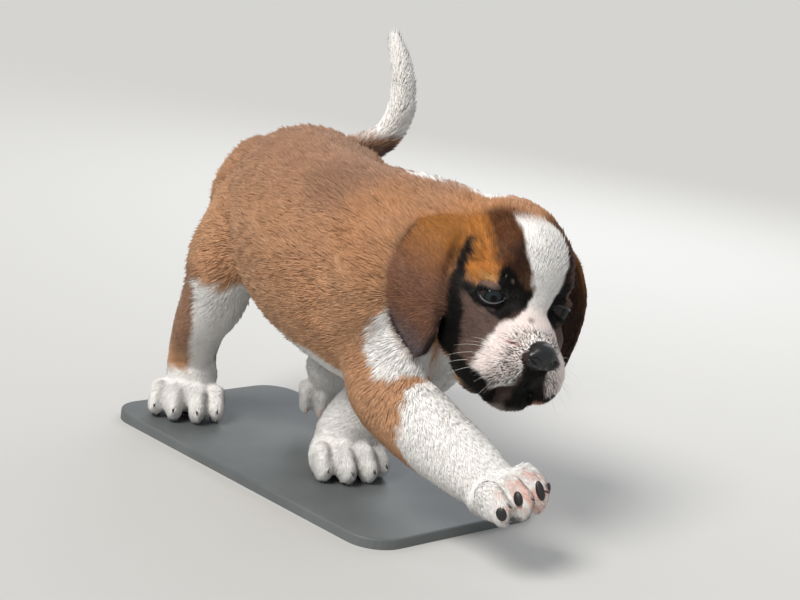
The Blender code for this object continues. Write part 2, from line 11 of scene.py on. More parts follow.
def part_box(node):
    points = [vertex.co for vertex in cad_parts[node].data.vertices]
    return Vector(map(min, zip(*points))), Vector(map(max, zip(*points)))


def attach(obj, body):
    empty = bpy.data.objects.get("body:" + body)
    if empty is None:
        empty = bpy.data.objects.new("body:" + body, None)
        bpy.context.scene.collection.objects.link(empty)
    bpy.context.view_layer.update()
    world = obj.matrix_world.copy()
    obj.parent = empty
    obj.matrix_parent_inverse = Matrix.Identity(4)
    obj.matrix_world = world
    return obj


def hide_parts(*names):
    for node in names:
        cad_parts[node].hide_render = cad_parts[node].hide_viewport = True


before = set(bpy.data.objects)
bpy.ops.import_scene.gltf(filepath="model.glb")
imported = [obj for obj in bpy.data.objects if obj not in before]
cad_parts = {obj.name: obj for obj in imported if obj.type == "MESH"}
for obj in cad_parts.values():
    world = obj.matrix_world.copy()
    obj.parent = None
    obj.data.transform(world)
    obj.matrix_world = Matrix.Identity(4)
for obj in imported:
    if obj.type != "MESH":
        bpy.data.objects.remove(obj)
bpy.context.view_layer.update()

# ---------------------------------------------------------------------------------------------
# Skin
# The puppy's hide, one closed surface over the whole body with no seam. It is made from copies
# of the flesh solids, melted together and drawn inwards by the depth of the coat that covers it.
# Tables are in centimetres over the floor that the puppy trots on, with +X the way it trots.
CM = 0.01
BASE_MIDDLE = (-0.5, -3.0)
base_low, base_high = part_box("stand_base")
FLOOR = np.array((
    (base_low.x + base_high.x) / 2 - BASE_MIDDLE[0] * CM,
    (base_low.y + base_high.y) / 2 - BASE_MIDDLE[1] * CM,
    base_high.z,
))


def over_floor(points):
    """Centimetres over the floor, from metres in the frame."""
    return (np.asarray(points, float) - FLOOR) / CM


def in_frame(points):
    """Metres in the frame, from centimetres over the floor."""
    return np.asarray(points, float) * CM + FLOOR


HEAD_CENTRE = (16.3, -1.8, 20.5)
HEAD_TURN = (
    Matrix.Rotation(math.radians(-20.0), 3, "Z")
    @ Matrix.Rotation(math.radians(15.0), 3, "Y")
    @ Matrix.Rotation(math.radians(-11.0), 3, "X")
)
HEAD_AXES = np.array(HEAD_TURN)


def on_head(points):
    """Centimetres in the head's own axes (+X nose, +Y its left, +Z crown), from metres in the frame."""
    return (over_floor(points) - HEAD_CENTRE) @ HEAD_AXES


def from_head(local):
    """Metres in the frame, from centimetres in the head's axes."""
    return in_frame(np.asarray(local, float) @ HEAD_AXES.T + HEAD_CENTRE)


def axes_at(forward, up):
    """Unit axes as the columns of a matrix, with +X along forward and +Z near up."""
    x = np.asarray(forward, float) / np.linalg.norm(forward)
    y = np.cross(up, x)
    y /= np.linalg.norm(y)
    return np.stack([x, y, np.cross(x, y)], axis=1)


def activate(item):
    bpy.ops.object.select_all(action="DESELECT")
    item.select_set(True)
    bpy.context.view_layer.objects.active = item


def apply_all(item):
    activate(item)
    for modifier in list(item.modifiers):
        bpy.ops.object.modifier_apply(modifier=modifier.name)


def add_object(name, data):
    """A new object in the scene that holds a mesh, a light or a camera."""
    item = bpy.data.objects.new(name, data)
    bpy.context.scene.collection.objects.link(item)
    return item


def melt(names, name, grow, voxel):
    """One closed mesh from copies of CAD nodes, grown to close the cuts between them."""
    twins = [add_object(node + "_copy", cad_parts[node].data.copy()) for node in names]
    activate(twins[0])
    for twin in twins:
        twin.select_set(True)
    bpy.ops.object.join()
    item = bpy.context.object
    item.name = name
    item.data.name = name
    bpy.ops.object.mode_set(mode="EDIT")
    bpy.ops.mesh.select_all(action="SELECT")
    bpy.ops.mesh.remove_doubles(threshold=0.000001)
    bpy.ops.object.mode_set(mode="OBJECT")
    swell = item.modifiers.new("swell", "DISPLACE")
    swell.strength = grow
    swell.mid_level = 0.0
    blend = item.modifiers.new("blend", "REMESH")
    blend.mode = "VOXEL"
    blend.voxel_size = voxel
    apply_all(item)
    keep_largest(item)
    return item


def keep_largest(item):
    """Deletes all but the largest closed surface."""
    bm = bmesh.new()
    bm.from_mesh(item.data)
    islands = []
    left = set(bm.verts)
    while left:
        island = {left.pop()}
        frontier = list(island)
        while frontier:
            for link in frontier.pop().link_edges:
                for other in link.verts:
                    if other in left:
                        left.discard(other)
                        island.add(other)
                        frontier.append(other)
        islands.append(island)
    islands.sort(key=len)
    bmesh.ops.delete(bm, geom=[vert for island in islands[:-1] for vert in island], context="VERTS")
    bm.to_mesh(item.data)
    bm.free()


def numbers(items, name, width, kind=float):
    found = np.empty(len(items) * width, dtype=np.int32 if kind is int else np.float32)
    items.foreach_get(name, found)
    found = found.astype(kind)
    return found.reshape(-1, width) if width > 1 else found


def relax(values, edges, weight, rounds):
    """Moves each value towards the mean of its neighbours along the mesh's edges."""
    count = np.maximum(np.bincount(edges.ravel(), minlength=len(values)), 1)
    values = values.copy()
    flat = values.reshape(len(values), -1)
    for _ in range(rounds):
        for k in range(flat.shape[1]):
            column = flat[:, k]
            total = np.bincount(edges[:, 0], column[edges[:, 1]], len(flat))
            total += np.bincount(edges[:, 1], column[edges[:, 0]], len(flat))
            flat[:, k] = column + weight * (total / count - column)
    return values


def nearness(points, path, reach, soft):
    """1 within reach of a path, falling smoothly to 0 at reach + soft.

    A point of the path may carry its own reach as a fourth number.
    """
    path = np.atleast_2d(np.asarray(path, float))
    best = np.full(len(points), -1e9)
    spans = list(zip(path, path[1:])) or [(path[0], path[0])]
    for a, b in spans:
        span = b[:3] - a[:3]
        t = np.clip((points - a[:3]) @ span / max(span @ span, 1e-9), 0, 1)
        away = np.linalg.norm(points - a[:3] - t[:, None] * span, axis=1)
        own = reach if len(a) == 3 else a[3] + t * (b[3] - a[3])
        best = np.maximum(best, own - away)
    t = np.clip(1 + best / soft, 0, 1)
    return t * t * (3 - 2 * t)


def ramp(values, start, end):
    """0 at the start and before it, 1 at the end and past it, and even between them."""
    return np.clip((values - start) / (end - start), 0, 1)


def groove(spots, path, radius):
    """1 on a path, fading to 0 within about two radii, in centimetres."""
    path = np.asarray(path, float)
    away = np.full(len(spots), 1e9)
    for a, b in zip(path, path[1:]):
        t = np.clip((spots - a) @ (b - a) / ((b - a) @ (b - a)), 0, 1)
        away = np.minimum(away, np.linalg.norm(spots - a - t[:, None] * (b - a), axis=1))
    return np.exp(-((away / radius) ** 2))[:, None]


FLESH = (
    "head", "neck", "torso", "tail", "foreleg_left", "foreleg_right",
    "hindleg_left", "hindleg_right", "ear_left", "ear_right",
)
SKIN_SWELL = 0.0002
SKIN_VOXEL = 0.0022
skin = melt((*FLESH, "eye_left", "eye_right", "nose"), "skin", SKIN_SWELL, SKIN_VOXEL)

# The unwrap that the coat's colours are baked on. The cuts below keep it.
activate(skin)
bpy.ops.object.mode_set(mode="EDIT")
bpy.ops.mesh.select_all(action="SELECT")
bpy.ops.uv.smart_project(angle_limit=1.15, island_margin=0.002, scale_to_bounds=True)
bpy.ops.object.mode_set(mode="OBJECT")
skin.data.uv_layers[0].name = "OFBake"
mesh = skin.data

# Each paw: its wrist, its way forward, its way up, and its width, length and height
PAWS = {
    "foreleg_right": ((21.2, -7.1, 6.4), (0.88, 0.17, 0.38), (-0.41, -0.14, 0.9), 6.0, 6.0, 3.8),
    "foreleg_left": ((1.6, -4.0, 3.5), (0.98, -0.2, 0.0), (0.0, 0.0, 1.0), 6.0, 6.2, 3.6),
    "hindleg_right": ((-15.6, -6.2, 3.4), (0.76, -0.65, 0.0), (0.0, 0.0, 1.0), 5.8, 6.2, 3.4),
    "hindleg_left": ((-6.0, 1.4, 7.0), (0.7, -0.3, -0.65), (0.5, -0.35, 0.6), 4.6, 5.5, 3.2),
}
# Each toe: its place across the paw as a share of the width, and its splay in degrees
TOES = ((-0.36, -8.0), (-0.13, -3.0), (0.13, 3.0), (0.36, 8.0))


def in_paw(points, paw):
    """Centimetres in a paw's own axes, +X to the toes and -Z to the sole."""
    wrist, forward, up, _, _, _ = PAWS[paw]
    return (over_floor(points) - wrist) @ axes_at(forward, up)


def from_paw(local, paw):
    """Metres in the frame, from centimetres in a paw's axes."""
    wrist, forward, up, _, _, _ = PAWS[paw]
    return in_frame(np.asarray(local, float) @ axes_at(forward, up).T + wrist)


def near_paw(points, paw, ahead, down, reach, soft):
    """Nearness to a spot in a paw, which is given as shares of the paw's length and height."""
    _, _, _, _, length, tall = PAWS[paw]
    return nearness(in_paw(points, paw), [(length * ahead, 0, -tall * down)], reach, soft)


def mirrored(head):
    """Both sides of the head laid on its left side."""
    return np.stack([head[:, 0], np.abs(head[:, 1]), head[:, 2]], axis=1)


def fine_areas(points):
    """1 on the face and the paws, where the skin holds finer forms."""
    fine = nearness(on_head(points), [(5.8, 0.0, -1.8)], 5.4, 0.6)
    for paw in PAWS:
        fine = np.maximum(fine, near_paw(points, paw, 0.72, 0.55, 3.2, 0.6))
    return fine


MOUTH = [(9.3, 0.0, -4.4), (8.6, 1.4, -5.1), (7.2, 2.9, -5.9), (5.4, 3.9, -5.8), (3.8, 4.3, -5.2)]


def finest_areas(points):
    """1 round the eyes, the nose and the mouth."""
    face = mirrored(on_head(points))
    fine = nearness(face, [(5.2, 3.6, 0.5)], 1.5, 0.3)
    fine = np.maximum(fine, nearness(face, [(9.5, 0.0, -1.5)], 2.0, 0.3))
    return np.maximum(fine, nearness(face, MOUTH, 0.5, 0.3))


# Each smoothing step in is paired with a slightly stronger one out, which keeps the toes and ears
SMOOTH_IN, SMOOTH_OUT = 0.6, -0.62


def smooth_and_split(rounds, body_rounds, areas=None):
    """Evens the mesh out, the body more than the fine areas, then splits the faces of some areas."""
    spots = numbers(mesh.vertices, "co", 3)
    links = numbers(mesh.edges, "vertices", 2, int)
    body = 1 - fine_areas(spots)
    for k in range(rounds + body_rounds):
        weight = 1.0 if k < rounds else body
        spots = relax(spots, links, SMOOTH_IN * weight, 1)
        spots = relax(spots, links, SMOOTH_OUT * weight, 1)
    mesh.vertices.foreach_set("co", spots.ravel())
    mesh.update()
    if areas is None:
        return spots, links
    chosen = areas(numbers(mesh.polygons, "center", 3)) > 0.5
    activate(skin)
    bpy.ops.object.mode_set(mode="EDIT")
    bpy.ops.mesh.select_mode(type="FACE")
    bpy.ops.mesh.select_all(action="DESELECT")
    bpy.ops.object.mode_set(mode="OBJECT")
    mesh.polygons.foreach_set("select", chosen)
    bpy.ops.object.mode_set(mode="EDIT")
    bpy.ops.mesh.subdivide(number_cuts=1)
    bpy.ops.object.mode_set(mode="OBJECT")
    return None


smooth_and_split(rounds=8, body_rounds=12, areas=fine_areas)
smooth_and_split(rounds=12, body_rounds=8, areas=finest_areas)
points, edges = smooth_and_split(rounds=6, body_rounds=4)
paw_zone = np.max([near_paw(points, paw, 0.72, 0.4, 3.0, 1.0) for paw in PAWS], axis=0)
points = relax(points, edges, 0.5 * paw_zone, 8)


def push_skin(points):
    """Puts the points back in the mesh and gives them with the new normals."""
    mesh.vertices.foreach_set("co", points.ravel())
    mesh.update()
    return points, numbers(mesh.vertices, "normal", 3)


# How deep the coat is, in centimetres
BODY_DEPTH, FACE_DEPTH, PAW_DEPTH = 0.36, 0.26, 0.4
EAR_DEPTH, LEAST_DEPTH, NOSE_DEPTH = 0.1, 0.07, 0.3


def coat_depth(points):
    """The depth of the coat, which is less on the legs and least on the face and the paws."""
    head = on_head(points)
    depth = BODY_DEPTH - 0.16 * ramp(over_floor(points)[:, 2], 12.0, 9.0)
    depth -= 0.14 * nearness(head, [(0.5, 0, 0)], 6.0, 3.0)
    face = FACE_DEPTH - 0.18 * nearness(head, [(7.0, 0, -2.6)], 3.6, 2.8)
    behind_face = head[:, 0] < -4
    depth = np.minimum(depth, face + 0.2 * behind_face)
    for paw in PAWS:
        depth = np.minimum(depth, PAW_DEPTH - 0.3 * near_paw(points, paw, 0.8, 0.6, 3.0, 2.4))
    return np.maximum(depth, LEAST_DEPTH)


points, normals = push_skin(points)
solid_points, solid_faces, owners = [], [], []
for name in FLESH:
    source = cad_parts[name].data
    start = len(solid_points)
    solid_points.extend(vert.co[:] for vert in source.vertices)
    solid_faces.extend([start + v for v in face.vertices] for face in source.polygons)
    owners.extend([name] * len(source.polygons))
tree = BVHTree.FromPolygons(solid_points, solid_faces)
owner = np.array([owners[tree.find_nearest(point)[2]] for point in points])


def share_of(*names):
    """How far each skin point belongs to the named nodes, softened over a few millimetres."""
    return relax(np.isin(owner, names).astype(float), edges, 0.5, 6)


ear_share = share_of("ear_left", "ear_right")
tail_share = share_of("tail")
depth = coat_depth(points) * (1 - ear_share) + EAR_DEPTH * ear_share
depth = relax(depth, edges, 0.5, 8)
under_nose = nearness(on_head(points), [(9.75, 0.1, -1.45)], 1.0, 0.5)
points, normals = push_skin(points - normals * ((depth + NOSE_DEPTH * under_nose) * CM)[:, None])


def press(path, radius, amount, on_body=False):
    """Presses a soft groove along a path, in centimetres, or raises a ridge by an amount below 0."""
    spots = over_floor(points) if on_body else mirrored(on_head(points))
    return push_skin(points - normals * (groove(spots, path, radius) * amount * CM))


# Folds of the face: the line of the mouth and the swell of the lip over it, the parting under the
# nose, and the creases over the cheek and the brow, each with its radius and depth
for fold, radius, amount in (
    (MOUTH, 0.2, 0.26),
    ([(x, y, z + 0.55) for x, y, z in MOUTH], 0.4, -0.12),
    ([(10.0, 0.0, -2.4), (9.8, 0.0, -3.2), (9.4, 0.0, -4.3)], 0.14, 0.16),
    ([(6.0, 2.0, 0.9), (6.3, 3.3, -0.9), (6.4, 4.3, -2.6)], 0.5, 0.12),
    ([(4.0, 4.2, 1.9), (5.0, 2.9, 2.2), (5.4, 2.0, 1.6)], 0.35, 0.08),
):
    points, normals = press(fold, radius, amount)

# Folds of the body: loose skin behind the shoulder and in front of the thigh, and the rump, which
# slopes in under the root of the tail
for fold, radius, amount in (
    ([(5.2, -12.9, 18.6), (6.8, -12.6, 17.2), (7.4, -12.4, 15.2)], 0.55, 0.2),
    ([(2.6, -13.2, 17.0), (4.0, -12.9, 15.4), (4.6, -12.4, 13.8)], 0.55, 0.2),
    ([(-6.4, -10.8, 18.0), (-6.6, -10.2, 15.2), (-5.6, -9.2, 13.4)], 0.55, 0.2),
    ([(-15.3, -5.2, 23.6), (-16.2, -5.7, 21.0), (-15.8, -6.4, 18.8)], 2.2, 0.5),
):
    points, normals = press(fold, radius, amount, on_body=True)

# The left eye's middle in the head's axes, its size and turn out, and half the width and height,
# the tilt and the middle of the lids' opening. The right eye mirrors it.
EYE_MIDDLE = np.array((4.32, 3.0, 0.45))
EYE_RADIUS = 1.08
EYE_TURN = math.radians(32.0)
OPENING = (1.02, 0.47)
LID_TILT = 0.24
OPENING_MIDDLE = (-0.16, 0.14)


def eye_axes(side):
    return np.array(Matrix.Rotation(side * EYE_TURN, 3, "Z"))


def at_eye(points, side):
    """Centimetres in an eye's own axes: +X the way it looks, +Y to the head's left, +Z up."""
    return (on_head(points) - EYE_MIDDLE * (1, side, 1)) @ eye_axes(side)


def from_eye(local, side):
    """Metres in the frame, from centimetres in an eye's axes."""
    return from_head(np.asarray(local, float) @ eye_axes(side).T + EYE_MIDDLE * (1, side, 1))


def lid_ring(own, side):
    """1 on the edge of the lids, in an eye's axes: less inside the opening, and more beyond it."""
    y, z = own[:, 1] - side * OPENING_MIDDLE[0], own[:, 2] - OPENING_MIDDLE[1]
    across = y / OPENING[0]
    up = (z + side * LID_TILT * y) / OPENING[1]
    ring = np.hypot(across, up / np.clip(1 - 0.25 * across**2, 0.6, 1))
    return np.where(own[:, 0] > 0, ring, 9.0)


# The lids stand round the eyeball, and the skin inside their opening lies behind it
LID_EDGE, LID_SWELL, SOCKET = 0.05, 0.12, 0.14
LID_REACH = 2.6
for side in (-1, 1):
    own = at_eye(points, side)
    ring = lid_ring(own, side)
    away = np.linalg.norm(own, axis=1)
    lid = EYE_RADIUS + LID_EDGE + LID_SWELL * np.sin(math.pi * ramp(ring, 1.0, 2.5))
    wanted = away + np.maximum(lid - away, 0) * ramp(ring, LID_REACH, 1.7)
    wanted = np.where((ring < 1) & (away < 1.6), EYE_RADIUS - SOCKET, wanted)
    moved = own * (wanted / np.maximum(away, 1e-6))[:, None]
    near = (ring < LID_REACH) & (away < 2.4)
    points[near] = from_eye(moved, side)[near]
points, normals = push_skin(points)
lid_zone = np.zeros(len(points))
for side in (-1, 1):
    ring = lid_ring(at_eye(points, side), side)
    lid_zone = np.maximum(lid_zone, (ring > 1.12) & (ring < 3.0))
points, normals = push_skin(relax(points, edges, 0.45 * lid_zone, 4))
# The crease over the upper lid
points, normals = press([(3.9, 4.05, 0.65), (4.7, 3.7, 1.2), (5.3, 2.9, 1.25)], 0.12, 0.1)

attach(skin, "root")
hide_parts(*FLESH)

# ---------------------------------------------------------------------------------------------
# Markings
# A Saint Bernard's coat: reddish brown over the back and head, white on the blaze, muzzle,
# collar, chest, legs and tail, and black round the eyes, lips and ear rims.
rng = np.random.default_rng(7)


def linear(colour):
    """Linear colour from an sRGB hex value."""
    parts = [int(colour[i : i + 2], 16) / 255 for i in (1, 3, 5)]
    return np.array([p / 12.92 if p <= 0.04045 else ((p + 0.055) / 1.055) ** 2.4 for p in parts])


FAWN = linear("#B28969")
UMBER = linear("#876552")
TAN = linear("#AD7D57")
ORANGE = linear("#9E6630")
CHESTNUT = linear("#552F12")
SABLE = linear("#5A4841")
BLACK = linear("#0C0A09")
WHITE = linear("#F3F0EC")
HONEY_HIGHLIGHT = linear("#C39662")
DARK_BROWN = linear("#2A1810")
PINK = linear("#DDA999")
SCRATCH_PINK = linear("#B8604C")
EAR_BROWN = linear("#714E3C")
EAR_DARK = linear("#5F565B")
GREY_SKIN = linear("#7F6C66")
DARKEST = 0.002


def waves(points, size, seed):
    """Smooth noise between -1 and 1, with lumps of about the given size in centimetres."""
    own = np.random.default_rng(seed)
    total = np.zeros(len(points))
    for k in range(10):
        way = own.normal(size=3)
        way *= own.uniform(0.7, 1.5) * 2 * math.pi / (size * 2) / np.linalg.norm(way)
        total += np.sin(points @ way + own.uniform(0, 2 * math.pi))
    return np.clip(total / 3.2, -1, 1)


def mix(base, colour, weight):
    return base + (colour - base) * np.clip(weight, 0, 1)[:, None]


# The edges of the ears in the head's axes, from root to tip: front and back
EAR_EDGES = (
    [(0.4, -4.4, 3.6), (0.8, -5.5, 2.9), (1.7, -6.0, 1.2), (2.3, -6.0, -0.1),
     (3.2, -5.8, -1.9), (4.0, -5.7, -3.9), (3.6, -5.5, -6.0), (3.2, -5.6, -6.9)],
    [(-2.6, -7.9, 2.2), (-1.9, -9.3, -0.8), (-1.1, -9.8, -2.6), (0.0, -8.9, -4.5),
     (1.3, -7.2, -6.2), (2.7, -5.7, -7.0)],
    [(1.0, 5.6, 3.4), (2.0, 6.8, 1.9), (2.9, 7.2, 0.3), (3.8, 7.1, -1.6),
     (4.3, 6.7, -3.4), (4.2, 6.4, -5.0)],
    [(-3.0, 6.0, 2.4), (-2.9, 7.4, 0.2), (-2.3, 7.9, -1.9), (-0.9, 7.8, -4.0),
     (1.4, 7.3, -5.6), (3.4, 6.5, -5.9)],
)

# White on the body, each path with its reach and softness: the collar in front of the shoulder,
# the chest, the belly, the edge of the flank, the inside of the right thigh, and the nape
WHITE_PATCHES = (
    ([(13.2, -9.8, 16.2, 1.4), (13.0, -10.3, 14.6, 1.3), (13.7, -9.8, 13.6, 1.0), (15.2, -7.8, 13.8, 1.3)],
     0, 0.5),
    ([(17.0, -1.0, 12.0)], 5.6, 1.0),
    ([(10.0, -2.0, 7.0), (2.0, -4.0, 8.5), (-6.0, -2.0, 11.0)], 4.2, 1.0),
    ([(6.8, -9.4, 10.4, 1.0), (1.5, -10.2, 11.6, 0.9)], 0, 0.5),
    ([(-7.2, -8.2, 12.0)], 2.2, 0.8),
    ([(8.6, -4.2, 27.8), (11.0, -3.0, 27.8), (14.6, -1.6, 27.6)], 1.0, 0.5),
)
# The right hind leg is white in front of this line, which runs up the leg: height, and place along
SHIN_HEIGHTS = (4.6, 7.7, 10.1, 12.9, 14.0)
SHIN_EDGE = (-14.0, -12.2, -10.8, -10.2, -10.6)
# The right foreleg is white in front of a slanted plane through this place
CUFF_PLACE = (16.2, -9.8, 10.3)
CUFF_FACING = (0.83, 0.3, 0.1)


def markings(points, ears, tail):
    """The coat's colour at points in the frame, from their shares of the ears and the tail."""
    place = over_floor(points)
    head = on_head(points)
    rough = waves(place, 1.6, 3)[:, None] * 0.3 + waves(place, 0.5, 4)[:, None] * 0.16
    spot = place + rough
    one_side = head + rough * 0.5
    face = mirrored(one_side)
    even = mirrored(head)
    x, y, z = spot.T
    right = ramp(one_side[:, 1], 1.5, 0.0)
    on_face = nearness(head, [(4.0, 0, -1.0)], 7.0, 1.0) * (1 - ears)
    colour = np.tile(FAWN, (len(points), 1))

    def paint(shade, weight):
        nonlocal colour
        colour = mix(colour, shade, weight)

    def dab(shade, spots, path, reach, soft, where=1.0):
        """Paints the face along a path."""
        paint(shade, nearness(spots, path, reach, soft) * on_face * where)

    # Body: fawn flanks, an umber saddle along the spine, lighter over the neck and crown
    paint(UMBER, ramp(z, 21.0, 26.5) * 0.75)
    paint(TAN, nearness(place, [(10.5, -8.5, 22.5)], 3.0, 3.0) * 0.6)
    paint(UMBER * 0.85, nearness(place, [(3.7, -8.7, 26.0)], 1.5, 3.0) * 0.6)
    colour = colour * (1 + 0.22 * ramp(z, 20.0, 15.0))[:, None]
    paint(UMBER * 0.8, nearness(place, [(-11.5, -11.0, 13.0), (-13.5, -10.0, 8.0)], 1.6, 1.6) * 0.7)

    # Skull: tan, chestnut beside the blaze, gold over the brow, with fine streaks
    paint(TAN, nearness(head, [(0.5, 0, 0.5)], 5.5, 3.5))
    paint(CHESTNUT, nearness(face, [(1.5, 2.9, 4.9, 1.2), (3.4, 2.7, 3.7, 1.4)], 0, 1.8))
    gold = nearness(face, [(0.3, 4.6, 3.6, 0.9), (2.0, 4.5, 2.6, 0.9), (3.2, 4.2, 1.8, 0.7)], 0, 1.3)
    paint(ORANGE, gold * (0.35 + 0.65 * right))
    paint(SABLE, nearness(head, [(3.6, 4.2, 2.4)], 1.6, 1.6))
    streaks = nearness(face, [(2.5, 3.5, 3.0)], 2.5, 1.5) * waves(head * (0.5, 1, 1), 0.3, 30)
    colour = colour * (1 + 0.22 * streaks)[:, None]

    # Body white: chest, collar, belly streak, legs and nape
    edge = np.interp(z, SHIN_HEIGHTS, SHIN_EDGE)
    cuff = (spot - CUFF_PLACE) @ np.array(CUFF_FACING)
    white = np.max([
        *(nearness(spot, *patch) for patch in WHITE_PATCHES),
        ramp(x, edge, edge + 0.6) * ramp(z, 14.6, 13.8) * (y < -3.0) * (x < -7.4),
        ramp(z, 4.4, 3.7),
        ramp(z, 9.5, 8.7) * ((y > -5.5) | (x > -4.0)) * (x < 9.5),
        ramp(cuff, -0.25, 0.25) * (z < 12.6),
    ], axis=0)
    paint(WHITE, white * (1 - ears))

    # Tail: brown root, white beyond it
    paint(WHITE, tail * ramp(z, 25.6, 26.4))
    paint(SABLE, tail * ramp(z, 25.8, 25.0))

    # Cheek: sable, with black beside the ear and under it, partly dark fur and partly painted shadow cast
    # by the ear
    dab(SABLE * 0.5, head, [(6.5, 0, -2.5), (8.5, 0, -3.6)], 4.2, 0.8)
    cheek = nearness(face, [(3.8, 4.6, -0.6, 1.0), (5.4, 4.2, -2.2, 1.5), (6.2, 3.9, -3.8, 1.5)], 0, 0.8)
    below_eye = nearness(face, [(6.0, 3.0, -0.5, 0.9), (6.8, 3.7, -2.0, 1.0)], 0, 0.5)
    paint(SABLE, np.maximum(cheek, below_eye) * on_face)
    # Black along the ear's front edge: dark fur with painted shadow of the ear over it.
    dab(BLACK * 1.6, face, [(1.1, 4.7, 2.8, 0.1), (1.7, 5.0, 1.3, 0.3), (2.6, 5.2, -0.2, 0.45),
                            (3.3, 5.1, -1.9, 0.6), (4.2, 4.9, -3.5, 0.8), (4.6, 4.6, -5.0, 0.9)], 0, 0.8)
    # Black under the ear: dark fur with painted shadow cast by the ear.
    ear_shadow_and_dark_fur = nearness(face, [(2.2, 5.4, -1.0), (2.2, 4.8, -4.4), (3.9, 4.7, -4.6)], 0.8, 0.8)
    paint(BLACK * 1.6, ear_shadow_and_dark_fur * (1 - ears))

    # Brow: orange with a honey edge over the right eye, partly a painted highlight on the brow ridge, and a
    # dark stripe along the blaze
    # On the right only, the brow's tan is brightened and edged with honey: the tan marking with a painted
    # highlight on it.
    dab(ORANGE * 1.3, face, [(2.6, 4.7, 1.3, 0.35), (3.6, 4.3, 1.8, 0.5), (4.3, 3.8, 2.3, 0.35)], 0, 0.5,
        right)
    dab(HONEY_HIGHLIGHT, even, [(3.4, 4.2, 1.35), (4.0, 3.95, 1.6), (4.7, 3.5, 1.85)], 0.14, 0.4, right * 0.9)
    dab(DARK_BROWN, face, [(4.4, 2.0, 4.4, 0.4), (5.0, 1.6, 3.4, 0.8), (5.5, 1.2, 2.4, 1.0)], 0, 0.9, 0.85)

    # Eye: a black mask, grey skin on the lids, and the pale spot over the right eye
    mask = nearness(face, [(3.4, 4.5, 0.2, 0.3), (4.6, 4.0, 0.3, 0.75), (5.4, 3.0, 0.4, 0.9),
                           (5.8, 2.2, 0.0, 0.7)], 0, 0.35)
    over_eye = nearness(face, [(4.7, 2.9, 2.5, 0.4), (5.1, 2.4, 1.9, 0.8), (5.7, 1.6, 1.2, 0.9)], 0, 0.4)
    paint(BLACK, np.maximum(mask, over_eye) * on_face)
    dab(GREY_SKIN * 0.6, even, [(4.0, 4.0, 1.0), (4.5, 3.75, 1.25), (5.0, 3.3, 1.35)], 0.16, 0.25,
        right * 0.8)
    dab(GREY_SKIN * 0.4, even, [(4.6, 3.7, -0.5), (5.3, 3.0, -0.4)], 0.1, 0.3, 0.7)
    dab(GREY_SKIN * 1.4, head, [(5.2, -2.3, 2.1)], 0.16, 0.16)

    # Blaze and muzzle: white, with pink skin that shows through the short hair
    blaze = nearness(one_side, [(0.9, -0.7, 6.3, 1.1), (2.6, -0.3, 6.1, 1.65), (4.3, 0.15, 4.7, 1.7),
                                (5.4, 0.55, 2.9, 1.15), (5.7, 0.65, 1.5, 0.8), (6.6, 0.45, 0.2, 1.15),
                                (8.0, 0.0, -0.6, 1.9)], 0, 0.35)
    muzzle = nearness(face, [(7.4, 1.5, -1.3, 1.05), (8.0, 2.1, -2.4, 1.45), (8.4, 2.3, -3.5, 1.6)], 0, 0.4)
    white = np.maximum(blaze, muzzle) * on_face
    paint(WHITE, white)
    pinkish = nearness(face, [(7.0, 1.2, -0.3), (8.2, 2.2, -1.8), (8.7, 2.8, -3.0)], 0.9, 1.5)
    paint(PINK, white * pinkish * 0.27)

    # Black lips and chin, a pink spot on the chin, a grey one on the bridge, and a fresh scratch
    lips = nearness(face, [(8.4, 1.5, -6.0, 0.5), (8.9, 3.0, -5.3, 0.7), (8.1, 4.0, -4.9, 0.75),
                           (6.8, 4.3, -5.0, 0.8), (5.4, 4.4, -5.4, 0.9)], 0, 0.3)
    below = nearness(one_side, [(10.0, 0.2, -2.6, 0.8), (9.8, 0.5, -3.4, 0.9), (9.5, 0.9, -4.6, 1.2),
                                (9.1, 1.2, -5.8, 1.6)], 0, 0.4)
    paint(BLACK, np.maximum(lips, below) * on_face)
    dab(PINK * 0.8, head, [(8.7, 2.6, -6.0)], 0.4, 0.4, 0.7)
    dab(GREY_SKIN, head, [(7.2, -0.5, 0.3)], 0.1, 0.35, 0.8)
    dab(SCRATCH_PINK, head, [(8.1, -2.5, -1.4), (8.5, -2.1, -1.25), (8.8, -1.7, -1.2)], 0.03, 0.14, 0.8)

    # Ears: warm at the root, brown below, with a near-black edge and tip, the left one darkened with
    # painted shade
    length = ramp(one_side[:, 2], 3.4, -6.2)
    ear = mix(np.tile(ORANGE * 0.85, (len(points), 1)), EAR_BROWN, (length - 0.1) * 2.8)
    ear = mix(ear, EAR_DARK, (length - 0.75) * 4.0)
    # Painted shade: the left ear's colours are darkened, as if it hung in shadow.
    ear = ear * np.where(head[:, 1] > 0, 0.62, 1.0)[:, None]
    rim = np.max([nearness(head, edge, 0.15, 0.55) for edge in EAR_EDGES], axis=0)
    ear = mix(ear, BLACK * 1.5, rim * ramp(length, 0.0, 0.25) * 0.85)
    paint(ear, ears * 1.4)

    # Pink skin shows through between the toes of the lifted paws
    own = in_paw(points, "foreleg_right")
    toes = ramp(own[:, 0], 3.6, 4.8) * ramp(np.abs(own[:, 2] + 2.0), 5.5, 3.5)
    paint(PINK, toes * np.clip(0.45 + 0.5 * waves(place, 0.5, 12), 0, 0.75))
    own = in_paw(points, "hindleg_left")
    paint(PINK, ramp(own[:, 0], 4.4, 5.4) * nearness(own, [(5.0, 0.0, -2.0)], 2.6, 1.0) * 0.7)
    return np.clip(colour, DARKEST, 1)


def add_node(material, kind, inputs=None, **settings):
    """Adds a shader node, sets its properties, and sets or links its inputs by name."""
    node = material.node_tree.nodes.new(kind)
    for name, value in settings.items():
        setattr(node, name, value)
    for name, value in (inputs or {}).items():
        if isinstance(value, bpy.types.NodeSocket):
            material.node_tree.links.new(value, node.inputs[name])
        else:
            node.inputs[name].default_value = value
    return node


